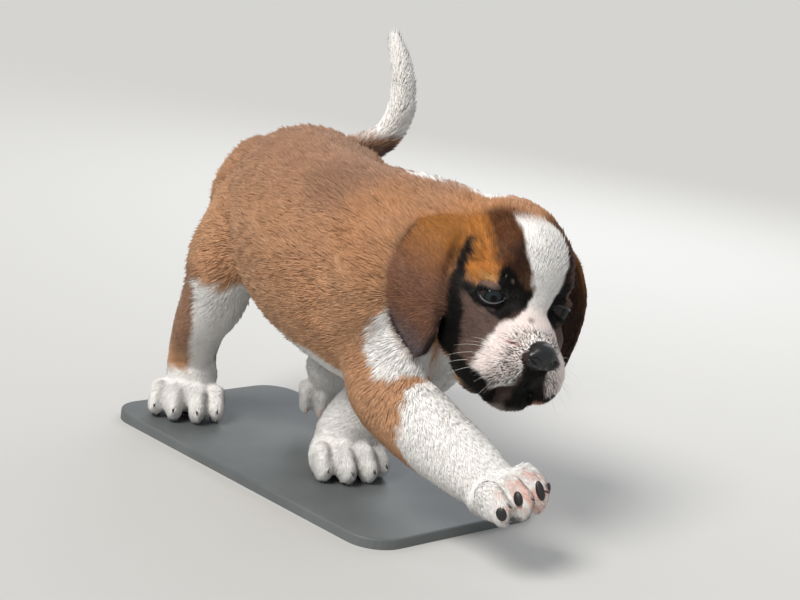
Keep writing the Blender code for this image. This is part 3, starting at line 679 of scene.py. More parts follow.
def new_material(name, **sockets):
    """A material, its one Principled shader, and that shader's sockets set, with _ for a space."""
    material = bpy.data.materials.new(name)
    material.use_nodes = True
    shader = material.node_tree.nodes["Principled BSDF"]
    for socket, value in sockets.items():
        shader.inputs[socket.replace("_", " ")].default_value = value
    return material, shader


def link(material, socket, shader, name):
    material.node_tree.links.new(socket, shader.inputs[name])


def solid(colour):
    """A colour socket's value from an sRGB hex value."""
    return (*linear(colour), 1)


def smooth_shade(mesh):
    mesh.polygons.foreach_set("use_smooth", np.ones(len(mesh.polygons), bool))


def store_colour(mesh, colours):
    layer = mesh.color_attributes.new("hair", "FLOAT_COLOR", "POINT")
    rgba = np.ones((len(colours), 4), np.float32)
    rgba[:, :3] = colours
    layer.data.foreach_set("color", rgba.ravel())


# Painted shade: the hide between the tufts is a tenth darker than the coat's markings, as if shaded by the
# hair over it.
HIDE_PAINTED_SHADE = 0.9
store_colour(mesh, markings(points, ear_share, tail_share) * HIDE_PAINTED_SHADE)
hide, hide_shader = new_material("short_undercoat", Roughness=0.7)
tint = add_node(hide, "ShaderNodeAttribute", attribute_name="hair")
grain = add_node(hide, "ShaderNodeTexNoise", inputs={"Scale": 900.0, "Detail": 3.0})
shade = add_node(hide, "ShaderNodeMixRGB", blend_type="MULTIPLY",
                 inputs={"Fac": 0.4, "Color1": tint.outputs["Color"], "Color2": grain.outputs["Fac"]})
link(hide, shade.outputs["Color"], hide_shader, "Base Color")
bump = add_node(hide, "ShaderNodeBump",
                inputs={"Strength": 0.5, "Distance": 0.0005, "Height": grain.outputs["Fac"]})
link(hide, bump.outputs["Normal"], hide_shader, "Normal")
mesh.materials.clear()
mesh.materials.append(hide)
smooth_shade(mesh)

# ---------------------------------------------------------------------------------------------
# Lie of the coat
# Hair grows away from the nose: back over the head, down the ears and legs, and out along the
# tail. The way is the slope of the distance from the nose over the skin.
diagonals = []
for face in mesh.polygons:
    ring = face.vertices
    if len(ring) == 4:
        diagonals.append((ring[0], ring[2]))
        diagonals.append((ring[1], ring[3]))
paths = np.vstack([edges, np.array(diagonals, dtype=int)])
lengths = np.linalg.norm(points[paths[:, 0]] - points[paths[:, 1]], axis=1)
both = np.vstack([paths, paths[:, ::-1]])
both_lengths = np.concatenate([lengths, lengths])
order = np.argsort(both[:, 0], kind="stable")
both, both_lengths = both[order], both_lengths[order]
starts = np.searchsorted(both[:, 0], np.arange(len(points) + 1)).tolist()
ends, costs = both[:, 1].tolist(), both_lengths.tolist()
NOSE_TIP = (10.1, 0.1, -1.45)
first = int(np.argmin(np.linalg.norm(on_head(points) - NOSE_TIP, axis=1)))
distance = [1e9] * len(points)
distance[first] = 0.0
queue = [(0.0, first)]
while queue:
    reached, at = heapq.heappop(queue)
    if reached > distance[at]:
        continue
    for k in range(starts[at], starts[at + 1]):
        longer = reached + costs[k]
        if longer < distance[ends[k]]:
            distance[ends[k]] = longer
            heapq.heappush(queue, (longer, ends[k]))
distance = relax(np.array(distance), edges, 0.5, 6)
step = points[both[:, 1]] - points[both[:, 0]]
rise = (distance[both[:, 1]] - distance[both[:, 0]]) / np.maximum((step**2).sum(axis=1), 1e-12)
flow = np.stack([np.bincount(both[:, 0], step[:, k] * rise, len(points)) for k in range(3)], axis=1)


def along_skin(ways, normals):
    """Unit vectors laid flat on the skin."""
    ways = ways - normals * (ways * normals).sum(axis=1)[:, None]
    return ways / np.maximum(np.linalg.norm(ways, axis=1), 1e-9)[:, None]


flow = along_skin(flow, normals)
for _ in range(6):
    flow = along_skin(relax(flow, edges, 0.6, 5), normals)

# ---------------------------------------------------------------------------------------------
# Coat
# Short, dense puppy hair. Each tuft is a thin closed kite that springs from the skin and lies
# along the flow, its root darkened with painted shade from the coat over it. Tufts are shortest on
# the face, ears and paws.
mesh.calc_loop_triangles()
triangles = numbers(mesh.loop_triangles, "vertices", 3, int)
loops = numbers(mesh.loop_triangles, "loops", 3, int)
areas = numbers(mesh.loop_triangles, "area", 1) / CM**2
unwrap = numbers(mesh.uv_layers["OFBake"].uv, "vector", 2)
middles = points[triangles].mean(axis=1)

# A tuft's length and width in centimetres and how many grow on a square centimetre: on the body
# and the ears, and what the legs add to the body's
BODY_HAIR = (1.0, 0.056, 92.0)
EAR_HAIR = (0.7, 0.05, 130.0)
LEG_HAIR = (-0.28, -0.012, 25.0)
# What the skull, the face and the muzzle add: the middle, reach and softness, and the change
HEAD_HAIR = (
    ((0.5, 0, 0), 6.2, 2.0, (-0.22, -0.012, 60.0)),
    ((6.6, 0, -2.2), 3.4, 3.2, (-0.4, -0.016, 210.0)),
    ((9.0, 0, -2.2), 1.6, 1.2, (-0.16, -0.004, 120.0)),
)
SHORTEST_HAIR = 0.16


def hair_sizes(points, ears, tail):
    """Length and width of the hair tufts and how many grow on a square centimetre."""
    head = on_head(points)
    sizes = np.tile(BODY_HAIR, (len(points), 1))
    sizes += np.outer(ramp(over_floor(points)[:, 2], 11.5, 8.5), LEG_HAIR)
    for middle, reach, soft, change in HEAD_HAIR:
        sizes += np.outer(nearness(head, [middle], reach, soft), change)
    sizes = mix(sizes, np.array(EAR_HAIR), ears)
    length, wide, crowd = sizes.T
    length = length + 0.15 * tail
    for paw in PAWS:
        near = near_paw(points, paw, 0.7, 0.5, 3.0, 2.0)
        length = np.minimum(length, 1.2 - near * 0.68)
        wide = np.minimum(wide, 0.062 - near * 0.016)
        crowd = crowd + near * 40.0
    for side in (-1, 1):
        past_lid = lid_ring(at_eye(points, side), side) - 1
        length = np.minimum(length, SHORTEST_HAIR + 0.16 * np.clip(past_lid, 0, 9))
    return np.maximum(length, SHORTEST_HAIR), wide, crowd


length_at, wide_at, crowd_at = hair_sizes(points, ear_share, tail_share)

# The lifted forepaw's toe pads: the place, the way each faces, and its half width and height
LIFTED_PADS = (
    ((4.26, -3.35, -2.77), (0.33, -0.94, -0.08), 0.42, 0.55),
    ((4.97, -1.75, -2.06), (0.25, -0.95, 0.15), 0.36, 0.58),
    ((5.52, 0.6, -2.1), (0.76, -0.63, 0.1), 0.34, 0.8),
    ((5.0, 2.5, -2.4), (0.9, 0.3, -0.3), 0.34, 0.5),
)

LIFTED_PAD_HALF = 0.2


def paw_toes(paw):
    """A paw's toes: how far ahead each one is rooted, its place across, and its splay as axes."""
    _, _, _, width, length, _ = PAWS[paw]
    for share, splay in TOES:
        outer = abs(share) > 0.2
        turn = np.array(Matrix.Rotation(math.radians(splay), 3, "Z"))
        yield length * (0.62 if outer else 0.72), share * width, turn


def toe_pads(paw):
    """A paw's toe pads in the paw's axes: each one's middle, half sizes and own axes."""
    _, _, _, width, length, tall = PAWS[paw]
    if paw == "foreleg_right":
        return [
            (np.array(middle), np.array((LIFTED_PAD_HALF, half_wide, half_tall)), axes_at(way, (0, 0, 1)))
            for middle, way, half_wide, half_tall in LIFTED_PADS
        ]
    half = np.array((length * 0.12, width * 0.09, tall * 0.16))
    return [
        (turn @ np.array((reach * 1.02, aside, -tall * 0.86)), half, turn)
        for reach, aside, turn in paw_toes(paw)
    ]


def bare(points):
    """1 where no hair grows: the nose, the eyes, the lips' edges and the soles' pads."""
    head = on_head(points)
    areas = [nearness(head, [(9.85, 0.1, -1.45)], 1.05, 0.15)]
    areas.append(nearness(mirrored(head), MOUTH[:4], 0.1, 0.08))
    for side in (-1, 1):
        areas.append(lid_ring(at_eye(points, side), side) < 1.22)
    for paw in PAWS:
        own = in_paw(points, paw)
        for middle, half, axes in toe_pads(paw):
            away = np.linalg.norm((own - middle) @ axes / (half + (0.3, 0, 0)), axis=1)
            areas.append(away < 0.95)
    return np.max(areas, axis=0)


# The tufts' roots: a triangle of the skin for each, picked by how many grow there, and a place in it
TUFT_LIMIT = 358000
spread = areas * crowd_at[triangles].mean(axis=1) * (1 - bare(middles))
total = int(min(spread.sum(), TUFT_LIMIT))
chance = np.cumsum(spread) / spread.sum()
picked = np.searchsorted(chance, rng.uniform(size=total)).clip(0, len(triangles) - 1)
corner_share = rng.uniform(size=(total, 2))
outside = corner_share.sum(axis=1) > 1
corner_share[outside] = 1 - corner_share[outside]
share = np.column_stack([1 - corner_share.sum(axis=1), corner_share])


def at_roots(values):
    """Values of the skin's points, carried to the tufts' roots."""
    return np.einsum("ij,ij...->i...", share, values[triangles[picked]])


root = at_roots(points)
out = at_roots(normals)
out /= np.linalg.norm(out, axis=1)[:, None]
lie = at_roots(flow)
root_uv = np.einsum("ij,ijk->ik", share, unwrap[loops[picked]])
root_length = at_roots(length_at)
root_wide = at_roots(wide_at)
root_depth = at_roots(depth)
root_ear = at_roots(ear_share)
root_tail = at_roots(tail_share)
place = over_floor(root)

# Locks: the hair turns a little together over a centimetre, and each tuft a little alone
turn = waves(place, 1.3, 21) * 0.16 + waves(place, 0.5, 22) * 0.12 + rng.normal(0, 0.12, total)
lie = along_skin(lie, out)
across = np.cross(out, lie)
lie = lie * np.cos(turn)[:, None] + across * np.sin(turn)[:, None]
across = np.cross(out, lie)
long = root_length * rng.uniform(0.7, 1.2, total) * CM
wide = root_wide * rng.uniform(0.7, 1.25, total) * CM
stand = root_depth * CM * rng.uniform(0.5, 1.05, total) * (1 + 0.12 * waves(place, 0.9, 23))

# Strays: one tuft in ten is longer and thinner and stands higher, less so on the face, legs and tail
STRAY_SHARE, STRAY_LONGER, STRAY_HIGHER, STRAY_THINNER = 0.1, 0.25, 0.55, 0.45
calm = np.maximum(nearness(on_head(root), [(6.0, 0, -1.5)], 4.0, 2.0), ramp(place[:, 2], 13.0, 10.0))
stray = (rng.uniform(size=total) < STRAY_SHARE) * (1 - 0.7 * calm)
stray *= (1 - root_ear) * (1 - 0.5 * root_tail)
long *= 1 + STRAY_LONGER * stray
stand = np.minimum(stand * (1 + STRAY_HIGHER * stray), long * (0.5 + 0.1 * stray))
wide *= 1 - STRAY_THINNER * stray

# Each kite: a heel just under the skin, two edges at the shoulder, and a tip
HEEL_DEPTH = 0.0004
reach_out = long * np.sqrt(np.clip(1 - (stand / long) ** 2, 0.2, 1))
shoulder = root + lie * (long * 0.36)[:, None] + out * (stand * 0.7)[:, None]
half_width = across * wide[:, None] / 2
corners = np.stack([
    root - out * HEEL_DEPTH,
    shoulder + half_width,
    shoulder - half_width,
    root + lie * reach_out[:, None] + out * stand[:, None],
], axis=1)
round_off = np.stack([out, out + across * 0.6, out - across * 0.6, out + lie * 0.3], axis=1)
round_off /= np.linalg.norm(round_off, axis=2)[:, :, None]
KITE = np.array([(0, 2, 1), (1, 2, 3), (0, 1, 3), (0, 3, 2)])

# Colours: the markings a little along each tuft, black speckle beside the nose, small differences
# from tuft to tuft, roots darkened with painted shade, and paler tips where the coat is brown or sable
tuft_colour = markings(root + lie * (long * 0.3)[:, None], root_ear, root_tail)
beside_nose = [(9.4, 0.9, -1.3, 1.2), (9.6, 1.6, -3.0, 0.6), (9.0, 2.4, -4.4, 0.2)]
speckle = nearness(mirrored(on_head(root)), beside_nose, 0, 1.2)
dark = rng.uniform(size=total) < speckle * 0.42
tuft_colour[dark] = np.outer(rng.uniform(1.5, 6.0, dark.sum()), BLACK)
bright = tuft_colour.mean(axis=1)
vary = rng.normal(0, 0.1, total) + 0.08 * waves(place, 0.7, 24)
vary = 1 + vary * np.where(bright > 0.5, 0.4, 1.0)
tuft_colour = tuft_colour * np.clip(vary, 0.6, 1.4)[:, None]
brown = np.clip(1.2 - np.abs(bright - 0.2) / 0.14, 0, 1)
sable = np.clip(1 - np.abs(bright - 0.06) / 0.045, 0, 1)
light = rng.uniform(size=total) ** 2
on_skull = nearness(on_head(root), [(2.0, 0, 0)], 7.0, 2.0)
tip_colour = tuft_colour * (1 + (0.2 + 0.5 * light) * brown)[:, None]
tip_colour = mix(tip_colour, linear("#D9B48C"), (0.42 - 0.3 * on_skull) * brown * light)
tip_colour = mix(tip_colour, linear("#A08C7E"), 0.55 * sable * light)
# Painted shade: each root is darker than its tuft, less on white hair, as if shaded by the coat over it.
shaded_root_colour = tuft_colour * (0.84 + 0.14 * (bright > 0.5))[:, None]
shades = np.stack([shaded_root_colour, tuft_colour, tuft_colour, tip_colour], axis=1).clip(DARKEST, 0.93)

# Each tuft's patch on the unwrap, about 0.003 across, at its root
PATCH_HALF = 0.0015
patch = np.array([(0, -PATCH_HALF), (-PATCH_HALF, 0), (PATCH_HALF, 0), (0, PATCH_HALF)])
tuft_uv = (root_uv[:, None] + patch[None]).clip(0.001, 0.999)


def build_coat(name, chosen):
    """One piece of coat from the chosen tufts."""
    count = len(chosen)
    coat_mesh = bpy.data.meshes.new(name)
    coat_mesh.vertices.add(count * 4)
    coat_mesh.vertices.foreach_set("co", corners[chosen].astype(np.float32).ravel())
    ring = (KITE[None] + np.arange(count)[:, None, None] * 4).reshape(-1)
    coat_mesh.loops.add(len(ring))
    coat_mesh.loops.foreach_set("vertex_index", ring.astype(np.int32))
    coat_mesh.polygons.add(count * 4)
    coat_mesh.polygons.foreach_set("loop_start", np.arange(0, len(ring), 3, dtype=np.int32))
    smooth_shade(coat_mesh)
    coat_mesh.update(calc_edges=True)
    layer = coat_mesh.uv_layers.new(name="OFBake")
    own = tuft_uv[chosen]
    layer.uv.foreach_set("vector", own[:, KITE].astype(np.float32).ravel())
    store_colour(coat_mesh, shades[chosen].reshape(-1, 3))
    coat_mesh.normals_split_custom_set_from_vertices(round_off[chosen].reshape(-1, 3))
    coat_mesh.materials.append(hair)
    item = add_object(name, coat_mesh)
    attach(item, "root")


hair, hair_shader = new_material(
    "puppy_hair", Roughness=0.55, Specular_IOR_Level=0.12, Sheen_Weight=0.03, Sheen_Roughness=0.4)
tint = add_node(hair, "ShaderNodeAttribute", attribute_name="hair")
link(hair, tint.outputs["Color"], hair_shader, "Base Color")

# Pieces from the tail forwards, with the head's tufts last, each of at most 45,000 tufts
TUFTS_EACH = 45000
order = np.argsort(place[:, 0] + 100.0 * (on_head(root)[:, 0] > 0))
for k, chosen in enumerate(np.array_split(order, math.ceil(total / TUFTS_EACH))):
    build_coat("coat_%02d" % (k + 1), chosen)

# The hide is thinned where it is plain. The tree keeps its full shape for the lips and whiskers.
SKIN_TRIANGLES = 195000
skin_tree = BVHTree.FromPolygons(points.tolist(), [tuple(face.vertices) for face in mesh.polygons])
thin = skin.modifiers.new("thin", "DECIMATE")
thin.ratio = SKIN_TRIANGLES / sum(len(face.vertices) - 2 for face in mesh.polygons)
apply_all(skin)

# ---------------------------------------------------------------------------------------------
# Eyes
# Glass-like eyeballs with a dark slate-blue puppy iris, set in the sockets behind the lids. A
# black wet rim lies along each lid's edge, with a paler moist line inside the lower one, whose pale
# grey is partly a painted wet sheen.
def ball_shape(rings, segments):
    """Points and faces of a unit ball with its poles on the X axis."""
    lat = np.linspace(0, math.pi, rings + 1)[1:-1]
    lon = np.arange(segments) * 2 * math.pi / segments
    body = np.stack([
        np.repeat(np.cos(lat), segments),
        np.outer(np.sin(lat), np.cos(lon)).ravel(),
        np.outer(np.sin(lat), np.sin(lon)).ravel(),
    ], axis=1)
    shape = np.vstack([[(1, 0, 0)], body, [(-1, 0, 0)]])
    faces = []
    last = 1 + (rings - 2) * segments
    for k in range(segments):
        after = (k + 1) % segments
        faces.append((0, 1 + k, 1 + after))
        for low in range(1, last, segments):
            faces.append((low + k, low + segments + k, low + segments + after, low + after))
        faces.append((last + k, len(shape) - 1, last + after))
    return shape, faces


def sweep(path, radii, sides=8, closed=False):
    """Points and faces of a tube along a path."""
    path = np.asarray(path, float)
    count = len(path)
    radii = np.broadcast_to(np.asarray(radii, float), (count,))
    if closed:
        ahead = np.roll(path, -1, axis=0) - np.roll(path, 1, axis=0)
    else:
        ahead = np.gradient(path, axis=0)
    ahead /= np.linalg.norm(ahead, axis=1)[:, None]
    first = np.cross(ahead[0], (0.31, 0.2, 0.93))
    sideways = []
    for way in ahead:
        first = first - way * (first @ way)
        first /= np.linalg.norm(first)
        sideways.append(first)
    sideways = np.array(sideways)
    upward = np.cross(ahead, sideways)
    angle = (np.arange(sides) * 2 * math.pi / sides)[None, :, None]
    spokes = sideways[:, None] * np.cos(angle) + upward[:, None] * np.sin(angle)
    rings = path[:, None] + radii[:, None, None] * spokes
    faces = []
    for i in range(count if closed else count - 1):
        j = (i + 1) % count
        for k in range(sides):
            after = (k + 1) % sides
            faces.append((i * sides + k, i * sides + after, j * sides + after, j * sides + k))
    if not closed:
        faces.append(tuple(range(sides))[::-1])
        faces.append(tuple(range((count - 1) * sides, count * sides)))
    return rings.reshape(-1, 3), faces


def build_piece(name, shapes, material, node=None):
    """One object from pairs of points and faces, in metres in the frame."""
    spots, rings = [], []
    for own, faces in shapes:
        start = sum(len(part) for part in spots)
        spots.append(np.asarray(own))
        rings.extend([start + v for v in face] for face in faces)
    made = bpy.data.meshes.new(name)
    made.from_pydata(np.vstack(spots).tolist(), [], rings)
    smooth_shade(made)
    made.materials.append(material)
    item = add_object(name, made)
    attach(item, "root")
    if node:
        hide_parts(node)
    return item


def gloss_material(name, colour, roughness, bump_scale=None, bump_depth=0.0):
    """Bare skin or horn of one colour, with a fine grain where a scale is given."""
    material, shader = new_material(name, Base_Color=solid(colour), Roughness=roughness)
    if bump_scale:
        where = add_node(material, "ShaderNodeTexCoord")
        cells = add_node(material, "ShaderNodeTexVoronoi",
                         inputs={"Vector": where.outputs["Object"], "Scale": bump_scale})
        relief = add_node(material, "ShaderNodeBump", inputs={
            "Strength": 0.6, "Distance": bump_depth, "Height": cells.outputs["Distance"]})
        link(material, relief.outputs["Normal"], shader, "Normal")
    return material


def on_lids(scale, over, side):
    """The lids' opening, scaled and laid that far over the eyeball, in the eye's axes."""
    angle = np.arange(LID_POINTS) * 2 * math.pi / LID_POINTS
    across = OPENING[0] * np.cos(angle)
    up = OPENING[1] * np.sin(angle) * (1 - 0.25 * np.cos(angle) ** 2)
    y = across * scale + side * OPENING_MIDDLE[0]
    z = (up - side * LID_TILT * across) * scale + OPENING_MIDDLE[1]
    return np.stack([np.sqrt((EYE_RADIUS + over) ** 2 - y**2 - z**2), y, z], axis=1)


def eye_colours(shape, polar):
    """The ball's colours: a grey-brown white, a fibrous iris with a dark ring, and the pupil."""
    off = np.sin(polar) * EYE_RADIUS
    ahead = shape[:, 0] > 0
    spoke = np.arctan2(shape[:, 2], shape[:, 1])
    fibre = 0.5 + 0.25 * np.sin(spoke * 31 + 2 * np.sin(spoke * 5)) + 0.25 * np.sin(spoke * 53 + off * 20)
    ring = np.clip(off / IRIS, 0, 1)
    iris = linear("#23292B") * (0.5 + 0.8 * fibre * (1 - ring**6))[:, None]
    colour = np.where((ahead & (off < IRIS))[:, None], iris, linear("#2A2524"))
    colour = mix(colour, linear("#0B0B0C"), ahead * np.exp(-(((off - IRIS) / 0.07) ** 2)))
    return mix(colour, linear("#050505"), ahead * np.clip((PUPIL - off) / 0.04 + 0.5, 0, 1))


# Radii of the iris and pupil in centimetres, how the cornea bulges, and where each eye looks:
# degrees to the puppy's left and up
IRIS, PUPIL = 0.68, 0.26
CORNEA_BULGE, CORNEA_REACH = 0.05, 0.85
GAZE = {-1: (13.0, 6.0), 1: (10.0, 6.0)}
LID_POINTS = 56
LOWER_LID = slice(30, 54)
glaze, glaze_shader = new_material(
    "eye_glaze", Roughness=0.4, Specular_IOR_Level=0.0, Coat_Weight=0.25, Coat_Roughness=0.02)
tint = add_node(glaze, "ShaderNodeAttribute", attribute_name="hair")
link(glaze, tint.outputs["Color"], glaze_shader, "Base Color")
lid_skin = gloss_material("lid_skin", "#14110F", 0.3)
moist_sheen_skin = gloss_material("moist_lid_edge_painted_sheen", "#504C52", 0.4)
for side, word in ((-1, "right"), (1, "left")):
    shape, faces = ball_shape(72, 72)
    polar = np.arccos(np.clip(shape[:, 0], -1, 1))
    bulge = 1 + CORNEA_BULGE * np.clip(1 - (polar / CORNEA_REACH) ** 2, 0, 1)
    pan, tilt = (math.radians(angle) for angle in GAZE[side])
    look = np.array(Matrix.Rotation(pan, 3, "Z") @ Matrix.Rotation(-tilt, 3, "Y"))
    spots = from_eye(shape * (EYE_RADIUS * bulge)[:, None] @ look.T, side)
    ball = build_piece("eyeball_" + word, [(spots, faces)], glaze, "eye_" + word)
    store_colour(ball.data, eye_colours(shape, polar))

    upper = np.clip(np.sin(np.arange(LID_POINTS) * 2 * math.pi / LID_POINTS), 0, 1)
    rim = sweep(from_eye(on_lids(1.06, 0.045, side), side), (0.07 + 0.05 * upper) * CM, 10, closed=True)
    build_piece("lid_rim_" + word, [rim], lid_skin)

    # The lower lid's inner line: the moist lid, its pale grey partly a painted wet sheen.
    lower = on_lids(1.0, 0.05, side)[LOWER_LID]
    taper = np.sin(np.linspace(0.15, math.pi - 0.15, len(lower))) ** 0.5
    wet_sheen_line = sweep(from_eye(lower, side), 0.075 * CM * taper, 8)
    shape, faces = ball_shape(8, 12)
    # A pale blob in the inner corner: the caruncle, its pale grey partly a painted glint of tears.
    caruncle_glint = shape * (0.07, 0.08, 0.06) + (0.4, -side * 1.0, 0.28)
    build_piece("moist_sheen_edge_" + word, [wet_sheen_line, (from_eye(caruncle_glint, side), faces)], moist_sheen_skin)

# ---------------------------------------------------------------------------------------------
# Nose and lips
# Bare black leather, pebbled and a little moist: the nose with its nostrils and parting, and the
# edge of the lips along the mouth.
leather = gloss_material("nose_leather", "#0F0F10", 0.32, 1300.0, 0.00012)
NOSE_SWELL, NOSE_VOXEL = 0.00002, 0.00045
NOSE_ASIDE = (0.0, 0.1, 0.0)
pad = melt(("nose",), "nose_pad", NOSE_SWELL, NOSE_VOXEL)
pad_points = numbers(pad.data.vertices, "co", 3)
pad_edges = numbers(pad.data.edges, "vertices", 2, int)
pad_points = relax(pad_points, pad_edges, 0.5, 14)


def put_pad(spots):
    """Puts the points in the nose's mesh and gives their normals."""
    pad.data.vertices.foreach_set("co", spots.ravel())
    pad.data.update()
    return numbers(pad.data.vertices, "normal", 3)


# Soft grooves in the nose, each with its radius and depth: the nostril, the slit beside it, the
# parting, and the swell over the nostril
for path, radius, amount in (
    ([(10.55, 0.5, -1.6), (10.35, 0.9, -1.35)], 0.2, 0.3),
    ([(10.35, 0.9, -1.35), (10.05, 1.25, -1.45), (9.65, 1.45, -1.75)], 0.1, 0.18),
    ([(10.65, 0.0, -1.25), (10.45, 0.0, -1.85), (10.15, 0.0, -2.55)], 0.09, 0.14),
    ([(10.25, 0.55, -0.55), (9.95, 0.95, -0.75)], 0.3, -0.05),
):
    spots = mirrored(on_head(pad_points) - NOSE_ASIDE)
    pad_points = pad_points - put_pad(pad_points) * (groove(spots, path, radius) * amount * CM)
put_pad(pad_points)
pad.data.materials.clear()
pad.data.materials.append(leather)
smooth_shade(pad.data)
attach(pad, "root")
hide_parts("nose")


def on_skin(local, over=0.0):
    """The skin's nearest point to a place in the head's axes, that far over it, and its normal."""
    spot, normal, _, _ = skin_tree.find_nearest(Vector(from_head(local)))
    return np.array(spot + normal * (over * CM)), np.array(normal)


lip_skin = gloss_material("lip_skin", "#1A1516", 0.3)
lips = []
for side in (-1, 1):
    marks = np.array([(x, side * y, z) for x, y, z in MOUTH[:4]])
    t = np.linspace(0, len(marks) - 1, 26)
    line = np.stack([np.interp(t, range(len(marks)), marks[:, k]) for k in range(3)], axis=1)
    edge = np.array([on_skin(spot, -0.03)[0] for spot in line])
    edge[1:-1] = (edge[:-2] + 2 * edge[1:-1] + edge[2:]) / 4
    lips.append(sweep(edge, np.linspace(0.1, 0.05, len(edge)) * CM, 8))
build_piece("lip_edges", lips, lip_skin)

# ---------------------------------------------------------------------------------------------
# Paws: toe pads and claws
# Leathery pads at the toes' ends, dark on the lifted forepaw, and small bent claws of horn.
dark_pad = gloss_material("paw_pad_leather", "#1D191A", 0.45, 1500.0, 0.0001)
pink_pad = gloss_material("pink_paw_pad", "#C98476", 0.5, 1500.0, 0.0001)
horn = gloss_material("dark_claw_horn", "#2B211C", 0.3)
pale_horn = gloss_material("pale_claw_horn", "#B79E8E", 0.3)
CLAW_LENGTH, CLAW_DROP = 0.72, 0.34
CLAW_RADIUS, CLAW_POINT = 0.16, 0.02
for paw, (_, _, _, width, length, tall) in PAWS.items():
    pads, claws = [], []
    for middle, half, axes in toe_pads(paw):
        shape, faces = ball_shape(14, 18)
        pads.append((from_paw((shape * half) @ axes.T + middle, paw), faces))
    shape, faces = ball_shape(16, 24)
    heel = shape * (length * 0.2, width * 0.26, tall * 0.18) + (length * 0.34, 0.0, -tall * 0.84)
    pads.append((from_paw(heel, paw), faces))
    for reach, aside, turn in paw_toes(paw):
        t = np.linspace(0, 1, 9)
        line = np.stack([t * CLAW_LENGTH, 0 * t, -CLAW_DROP * t**1.7], axis=1)
        line += (reach * 1.12 + length * 0.08, aside, -tall * 0.56)
        radii = CLAW_RADIUS * (1 - t) ** 0.6 + CLAW_POINT
        claws.append(sweep(from_paw(line @ turn.T, paw), radii * CM, 10))
    pale = paw == "hindleg_left"
    build_piece("pads_" + paw, pads, pink_pad if pale else dark_pad)
    build_piece("claws_" + paw, claws, pale_horn if pale else horn)

# ---------------------------------------------------------------------------------------------
# Whiskers
# Stiff white hairs that spring from the muzzle's sides and, fewer, from the right brow.
own_rng = np.random.default_rng(31)
whisker = gloss_material("whisker_hair", "#E8E4DC", 0.35)
hairs = []
for side in (-1, 1):
    for row in range(4):
        for k in range(4):
            local = np.array((8.9 - 0.5 * k - 0.1 * row, 2.2 + 0.3 * k, -2.4 - 0.55 * row))
            spot, normal = on_skin(local * (1, side, 1), -0.05)
            way = HEAD_AXES @ np.array((-0.5 - 0.1 * k, side * 0.9, -0.35 - 0.1 * row))
            way += own_rng.normal(0, 0.12, 3)
            way = way / np.linalg.norm(way) + normal * 0.5
            way /= np.linalg.norm(way)
            reach = own_rng.uniform(1.5, 2.8) * CM
            t = np.linspace(0, 1, 8)[:, None]
            line = spot + way * reach * t + np.array((0, 0, -0.25)) * reach * t**2
            hairs.append(sweep(line, (0.011 * (1 - t[:, 0]) + 0.003) * CM, 4))
    for k in range(4 if side < 0 else 0):
        spot, normal = on_skin(np.array((4.3 + 0.25 * k, side * (3.9 - 0.3 * k), 2.2)), -0.05)
        way = normal + HEAD_AXES @ np.array((0.1, side * 0.3, 0.8)) + own_rng.normal(0, 0.1, 3)
        way /= np.linalg.norm(way)
        t = np.linspace(0, 1, 6)[:, None]
        line = spot + way * own_rng.uniform(0.9, 1.5) * CM * t
        hairs.append(sweep(line, (0.012 * (1 - t[:, 0]) + 0.003) * CM, 4))
build_piece("whiskers", hairs, whisker)

# ---------------------------------------------------------------------------------------------
# Display base
# A flat wooden board under the model's feet, rolled with a satin stone-grey paint that dries with
# faint clouds in its tone and a fine even grain.
paint_coat, paint_shader = new_material("satin_grey_paint", Roughness=0.55)
where = add_node(paint_coat, "ShaderNodeTexCoord")
cloud = add_node(paint_coat, "ShaderNodeTexNoise",
                 inputs={"Vector": where.outputs["Object"], "Scale": 22.0, "Detail": 6.0})
fine_grain = add_node(paint_coat, "ShaderNodeTexNoise",
                      inputs={"Vector": where.outputs["Object"], "Scale": 700.0, "Detail": 3.0})
tone = add_node(paint_coat, "ShaderNodeMixRGB", inputs={
    "Fac": cloud.outputs["Fac"], "Color1": solid("#4B4F50"), "Color2": solid("#666A69")})
link(paint_coat, tone.outputs["Color"], paint_shader, "Base Color")
relief = add_node(paint_coat, "ShaderNodeBump",
                  inputs={"Strength": 0.35, "Distance": 0.0003, "Height": fine_grain.outputs["Fac"]})
link(paint_coat, relief.outputs["Normal"], paint_shader, "Normal")
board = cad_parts["stand_base"]
board.data.materials.clear()
board.data.materials.append(paint_coat)

# ---------------------------------------------------------------------------------------------
# Floor, light and camera
# A pale sweep of studio floor under a large soft light from the upper left.
bpy.ops.mesh.primitive_plane_add(size=40.0, location=(0, 0, 0))
floor = bpy.context.object
floor.name = "studio_floor"
paper, _ = new_material("floor_paper", Base_Color=solid("#BDBCB9"), Roughness=0.9)
floor.data.materials.append(paper)

world = bpy.data.worlds.new("studio")
bpy.context.scene.world = world
world.use_nodes = True
sky = world.node_tree.nodes["Background"]
sky.inputs["Color"].default_value = solid("#E2E5E8")
sky.inputs["Strength"].default_value = 0.78

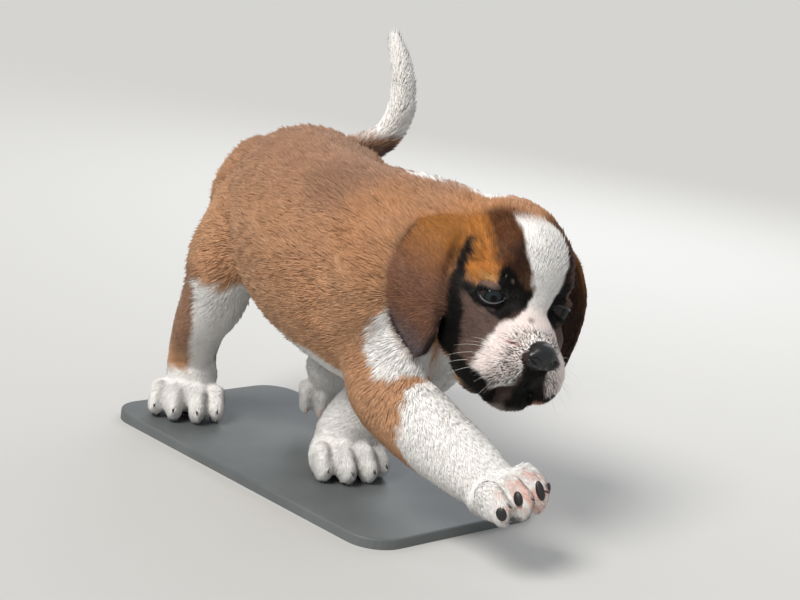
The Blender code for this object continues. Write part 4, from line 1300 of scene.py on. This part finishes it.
# The camera stands 1.7 m from the puppy's middle, which it sees a little left of its own middle
PICTURE_PX = (800, 600)
SENSOR_MM = 36.0
AZIMUTH, ELEVATION, ROLL = (math.radians(a) for a in (45.0, 14.0, 8.0))
DISTANCE = 170.0
FOCAL_PX = 1955.0
AIM = np.array((0.0, 0.0, 14.0))
AIM_PX = (370.0, 300.0)
back = np.array((
    math.sin(AZIMUTH) * math.cos(ELEVATION), -math.cos(AZIMUTH) * math.cos(ELEVATION), math.sin(ELEVATION)))
flat_right = np.array((math.cos(AZIMUTH), math.sin(AZIMUTH), 0.0))
flat_up = np.cross(back, flat_right)
right = flat_right * math.cos(ROLL) + flat_up * math.sin(ROLL)
up = -flat_right * math.sin(ROLL) + flat_up * math.cos(ROLL)
eye_point = AIM + back * DISTANCE
eye_point -= right * (AIM_PX[0] - PICTURE_PX[0] / 2) / FOCAL_PX * DISTANCE
eye_point += up * (AIM_PX[1] - PICTURE_PX[1] / 2) / FOCAL_PX * DISTANCE
camera_data = bpy.data.cameras.new("camera")
camera = add_object("camera", camera_data)
camera.matrix_world = Matrix.Translation(in_frame(eye_point)) @ Matrix(
    np.stack([right, up, back], axis=1).tolist()).to_4x4()
camera_data.sensor_width = SENSOR_MM
camera_data.lens = FOCAL_PX / PICTURE_PX[0] * SENSOR_MM
camera_data.clip_start = 0.05
camera_data.clip_end = 20.0
bpy.context.scene.camera = camera


def lamp(kind, name, offset, size, power, colour):
    """Adds a soft light that looks at the puppy's middle. A sun's size is in degrees."""
    data = bpy.data.lights.new(name, kind)
    data.energy = power
    data.color = linear(colour).tolist()
    if kind == "SUN":
        data.angle = math.radians(size)
    else:
        data.size = size
    middle = Vector(in_frame(AIM))
    place = middle + Vector(offset)
    facing = (middle - place).to_track_quat("-Z", "Y").to_matrix().to_4x4()
    add_object(name, data).matrix_world = Matrix.Translation(place) @ facing


LAMP_HEIGHT = np.array((0.0, 0.0, 1.1))
lamp("SUN", "key_light", back - flat_right * 0.75 + LAMP_HEIGHT, 24.0, 2.95, "#FFFCF8")
lamp("AREA", "rim_light", flat_right * 0.3 - back * 1.3 + LAMP_HEIGHT, 1.0, 8, "#F4F8FF")
bpy.context.scene.view_settings.view_transform = "Standard"
